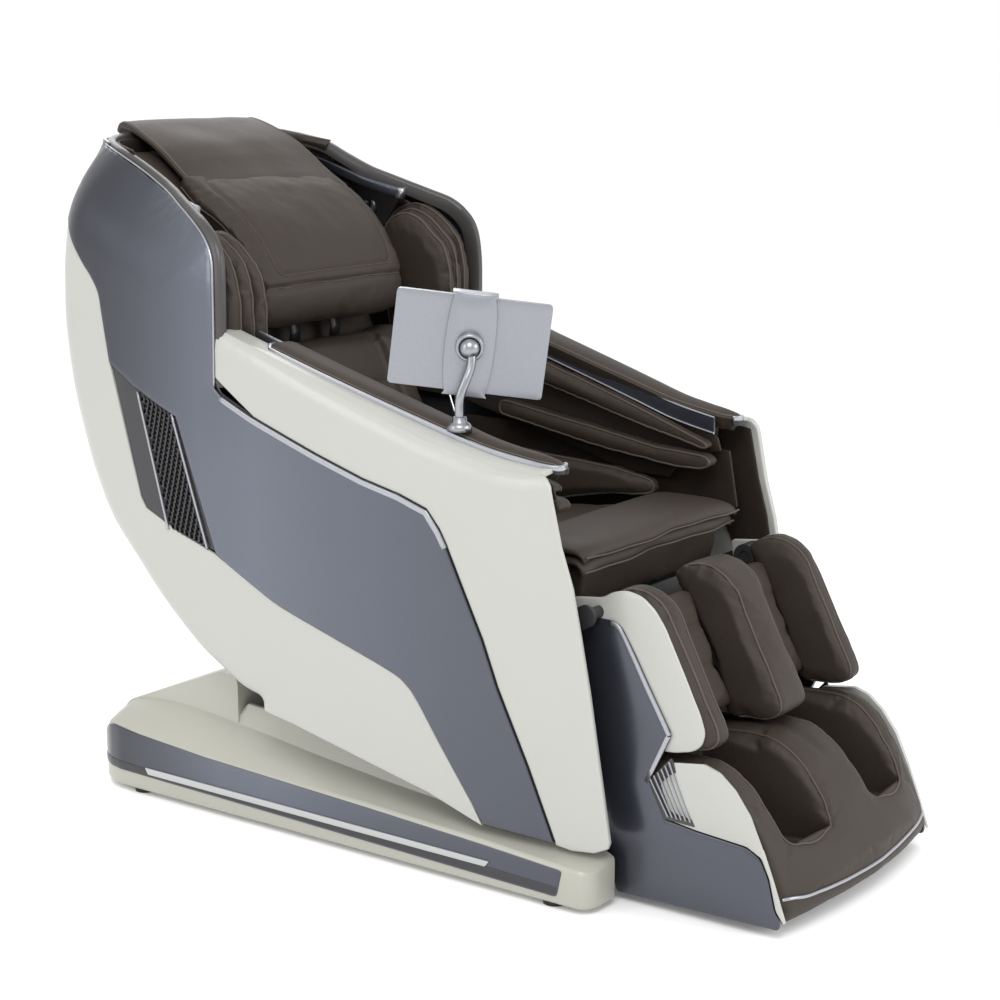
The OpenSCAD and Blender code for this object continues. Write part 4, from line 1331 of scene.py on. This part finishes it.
lp = tubes("foot_front_piping", [snap(bt, low_line, 1.0)], 3.2, SILVER)
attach(lp, "foot_unit")

# ---------- screen on its arm ----------

BALL = Vector((-300, -126, 905))
YAW, TIP, ROLL = math.radians(-54), math.radians(6), math.radians(7)
TAB = Matrix.Rotation(YAW, 3, "Z") @ Matrix.Rotation(TIP, 3, "X") @ Matrix.Rotation(ROLL, 3, "Y")


def tab_point(p):
    return tuple(BALL + TAB @ Vector(p))


def tab_slab(name, outline, y0, y1, mats, bevel=2.0, seg=3, dome=0.0):
    """A plate in the screen's own plane: outline in (x, z), from y0 to y1."""
    v, f = fill(outline, 12)
    d = distance_to(outline, v)
    y = y0 - dome * (1 - (1 - np.clip(d / 30, 0, 1)) ** 2)
    ob = new_object(name, [tab_point((a, c, b)) for (a, b), c in zip(v, y)], [tuple(t) for t in f], mats)
    face_out(ob, TAB @ Vector((0, -1, 0)))
    modify(ob, "SOLIDIFY", thickness=(y1 - y0) * MM, offset=-1)
    bevelled(ob, bevel, seg, 50)
    return apply_all(ob)


W, H = 129, 81
back_plate = tab_slab("tablet_shaped", rectangle(W, H, 8, 5), 25, 34, TABLET, 2.5)
glass = tab_slab("tablet_screen", rectangle(W - 4, H - 4, 6, 4),
                 34.2, 36.4, SCREEN, 0.6, 2)
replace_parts(back_plate, "tablet")
cradle = tab_slab("tablet_cradle_shaped",
                  [(-38, -88), (38, -88)] + [(30 + 12 * math.cos(t) , 88 * math.sin(t)) for t in
                  np.linspace(-1.2, 1.2, 9)] + [(38, 88), (-38, 88)] + [(-30 - 12 * math.cos(t),
                          88 * math.sin(t)) for t in
                  np.linspace(1.2, -1.2, 9)], 17, 24.6, TABLET, 2.0, 3, 4.0)
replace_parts(cradle, "tablet_cradle")
top_clip = tab_slab("tablet_clip_top", rounded([(-38, 81.5), (38, 81.5), (38, 88), (-38, 88)], 2, 2), 17,
                    39, CHROME, 1.2)
cup = lathe("tablet_socket", [(18.5, -3), (21, -4), (24, 0), (24.5, 8), (22, 15), (16, 19), (0.01, 19)],
            TABLET)
v = get(cup)
rot = np.array(TAB @ Matrix.Rotation(math.radians(90), 3, "Z"))
put(cup, v @ rot.T + np.array(BALL) * MM)
for o in (back_plate, glass, cradle, top_clip, cup):
    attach(o, "screen")

POST = (-318, -118)
S_CURVE = spline([(POST[0], POST[1], 776), (POST[0] - 1, POST[1], 800), (POST[0] - 4, POST[1] - 4, 826),
                  (POST[0] + 4, POST[1] - 10, 852), (POST[0] + 14, POST[1] - 13, 874),
                  (BALL[0], BALL[1] - 4, 892), (BALL[0], BALL[1], 903)], 8)
stem = tubes("screen_stem", [S_CURVE], 7.5, CHROME)
ball = lathe("screen_ball", [(0.01, -17)] + [(17 * math.sin(a),
                                              -17 * math.cos(a)) for a in np.linspace(0.15, 2.99,
                                                      18)] + [(0.01, 17)],
             CHROME)
moved(ball, tuple(BALL))
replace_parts(stem, "tablet_arm")
for o in (stem, ball):
    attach(o, "screen_arm")
collar = lathe("screen_collar", [(7.4, 22), (12, 21), (12.5, 14), (17, 11), (20, 7), (21, -2), (7.4, -2)],
               CHROME)
v = get(collar)
put(collar, v @ np.array(Matrix.Rotation(math.radians(-90), 3, "Y")).T + np.array((POST[0], POST[1],
        771)) * MM)
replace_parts(collar, "tablet_collar")
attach(collar, "capsule")

# ---------- base ----------

BASE_ENDS = ([-412, -410, -404, -396, -386, 655, 684, 708, 722, 732, 737],
             [332, 344, 356, 363, 366, 366, 360, 347, 333, 319, 307])


def base_x(y, z=None, out=0.0):
    """Half width of the base, with rounded corners in plan."""
    return np.interp(y, *BASE_ENDS) + out


def base_ledge():
    """The long cream plinth along the right side: low nose, high rear, and an inner lip under the capsule."""
    # y, underside, top of the inset strip, crease where the top turns up, height of the lip
    stations = [(-412, 14, 60, 78, 0), (-410, 12, 64, 84, 0), (-404, 11, 68, 88, 0), (-396, 10, 70, 91, 0),
                (-386, 10, 72, 93, 1), (-340, 10, 75, 98, 6), (-200, 10, 84, 106, 18), (-60, 10, 90, 115, 30),
                (46, 10, 95, 124, 38), (200, 10, 100, 140, 42), (330, 10, 105, 157, 42), (388, 10, 107, 163,
                        40),
                (420, 10, 109, 166, 4), (480, 10, 112, 172, 0), (555, 10, 118, 177, 0), (620, 10, 125, 175,
                        0),
                (665, 10, 130, 167, 0), (692, 10, 124, 150, 0), (710, 11, 108, 134, 0), (724, 13, 86, 108, 0),
                (733, 16, 62, 82, 0), (737, 20, 48, 60, 0)]
    verts = []
    for y, z0, zs, zc, lip in stations:
        x1 = float(base_x(y))
        run = x1 - 306
        section = [(-288, z0), (-x1 + min(6, run), z0), (-x1, z0 + 5), (-x1, zs + 1),
                   (-x1 + min(4, run), zs + 1 + min(5, zc - zs - 1)), (-306 - run * 0.5,
                           zs + (zc - zs) * 0.62),
                   (-306, zc), (-301, zc + lip * 0.7), (-296, zc + lip), (-288, zc + lip)]
        verts += [(x, y, z) for x, z in section]
    ob = loft("base_ledge_right", verts, len(stations), len(section), BASECREAM)
    bevelled(ob, 3, 3, 24)
    apply_all(ob)
    return smooth_by_angle(ob, 32)


ledge = base_ledge()
both_sides(ledge, "base_cover", body="base")


def base_hump():
    """The raised rear of the base: a hollow cover, open underneath."""
    line = rounded([(735, 14), (735, 74), (717, 124), (684, 161), (450, 256), (412, 256), (404, 244),
                    (404, 14)], 12, 5)
    bm = solid(line, -305.5, 305.5)
    under = [f for f in bm.faces if f.normal.z < -0.9 and f.calc_center_median().z < 0.02]
    bmesh.ops.delete(bm, geom=under, context="FACES")
    ob = mesh_object("base_hump", [bm], BASECREAM)
    modify(ob, "SOLIDIFY", thickness=4 * MM, offset=-1)
    bevelled(ob, 2.5, 3, 35)
    apply_all(ob)
    return smooth_by_angle(ob, 32)


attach(base_hump(), "base")
STRIP = [(-359, 72), (-200, 82), (46, 94), (437, 110), (600, 122), (670, 130), (696, 121), (714, 102),
         (726, 76), (731, 56), (730, 45), (640, 43), (100, 33), (-349, 25)]
strip = side_panel("base_strip_shaped_right", rounded(STRIP, 6, 3), 1.6, 3, GREY, step=10, bevel=1.0,
                   surf=base_x)
both_sides(strip, "base_strips", body="base")
DARK = [(-350, 42), (-217, 46), (573, 57), (700, 62), (722, 60), (725, 49), (640, 45.5), (100, 35.5),
        (-347, 28)]
dark = side_panel("base_strip_dark_right", rounded(DARK, 3, 2), 2.6, 2, CHARCOAL, step=10, bevel=0.6,
                  surf=base_x)
both_sides(dark, body="base")
bar = side_panel("base_light_bar_right", rounded([(578, 48), (586, 60), (-214, 56), (-206, 46)], 2, 2), 4.6,
                 3, LENS, step=12, bevel=1, surf=base_x)
both_sides(bar, "base_light_bars", body="base")

# ---------- CAD nodes that show as they are ----------

PAINT = {
    "floor_frame": STEEL, "guide_rails": BRIGHT, "rubber_feet": RUBBER, "power_panel": BLACK,
    "power_rocker": GLOSS,
    "slide_motor": BLACK, "wheel_left": RUBBER, "wheel_right": RUBBER, "carriage_frame": STEEL,
    "glide_shoes": NYLON,
    "tilt_shaft": BRIGHT, "slide_rod": BRIGHT, "seat_frame": STEEL, "knee_pins": STEEL,
    "roller_track": BRIGHT,
    "massage_chassis": BLACK, "kneading_shaft": WOOD, "leg_frame": STEEL, "leg_back_cover": BLACK,
    "foot_slide_rods": BRIGHT, "foot_rollers": WOOD,
}
for name, mat in PAINT.items():
    ob = nodes[name]
    for i in range(len(ob.data.materials)):
        ob.data.materials[i] = mat
    if name not in ("tilt_shaft", "slide_rod", "foot_slide_rods", "knee_pins"):
        modify(ob, "BEVEL", width=0.8 * MM, segments=2, limit_method="ANGLE", angle_limit=math.radians(45))

# ---------- floor, light and camera ----------

floor_mat, _, fb = material("floor", (0.94, 0.94, 0.94), 0.9)
fb.inputs["Emission Color"].default_value = (1, 1, 1, 1)
fb.inputs["Emission Strength"].default_value = 0.09
bpy.ops.mesh.primitive_plane_add(size=60, location=(0, 0, 0))
floor = bpy.context.object
floor.name = "floor"
floor.data.materials.append(floor_mat)
stage = [floor]


def lamp(name, at, target, size, power):
    d = bpy.data.lights.new(name, "AREA")
    d.shape, d.size, d.energy = "RECTANGLE", size[0], power
    d.size_y = size[1]
    o = bpy.data.objects.new(name, d)
    o.location = at
    o.rotation_mode = "QUATERNION"
    o.rotation_quaternion = (Vector(target) - Vector(at)).to_track_quat("-Z", "Y")
    scene.collection.objects.link(o)
    return o


stage += [lamp("key", (-3.4, -2.2, 4.4), (0, 0, 0.5), (2.6, 2.6), 150),
          lamp("side", (-4.6, 2.2, 2.4), (0, 0.2, 0.6), (1.6, 2.8), 45),
          lamp("front", (1.6, -4.8, 2.4), (0, -0.3, 0.5), (2.6, 2.2), 85),
          lamp("back", (2.8, 3.6, 3.6), (0, 0, 0.7), (3.0, 2.6), 70)]

world = bpy.data.worlds.new("studio")
scene.world = world
world.use_nodes = True
world.node_tree.nodes["Background"].inputs["Color"].default_value = (1, 1, 1, 1)
world.node_tree.nodes["Background"].inputs["Strength"].default_value = 1.0
scene.view_settings.view_transform = "Standard"

cam = bpy.data.cameras.new("camera")
cam.sensor_width = 36
cam.lens = 77.7
camera = bpy.data.objects.new("camera", cam)
scene.collection.objects.link(camera)
camera.location = (-3.1157, -2.2193, 1.3906)
camera.rotation_mode = "QUATERNION"
camera.rotation_quaternion = Vector((0.7934, 0.5726, -0.2064)).to_track_quat("-Z", "Y")
scene.camera = camera
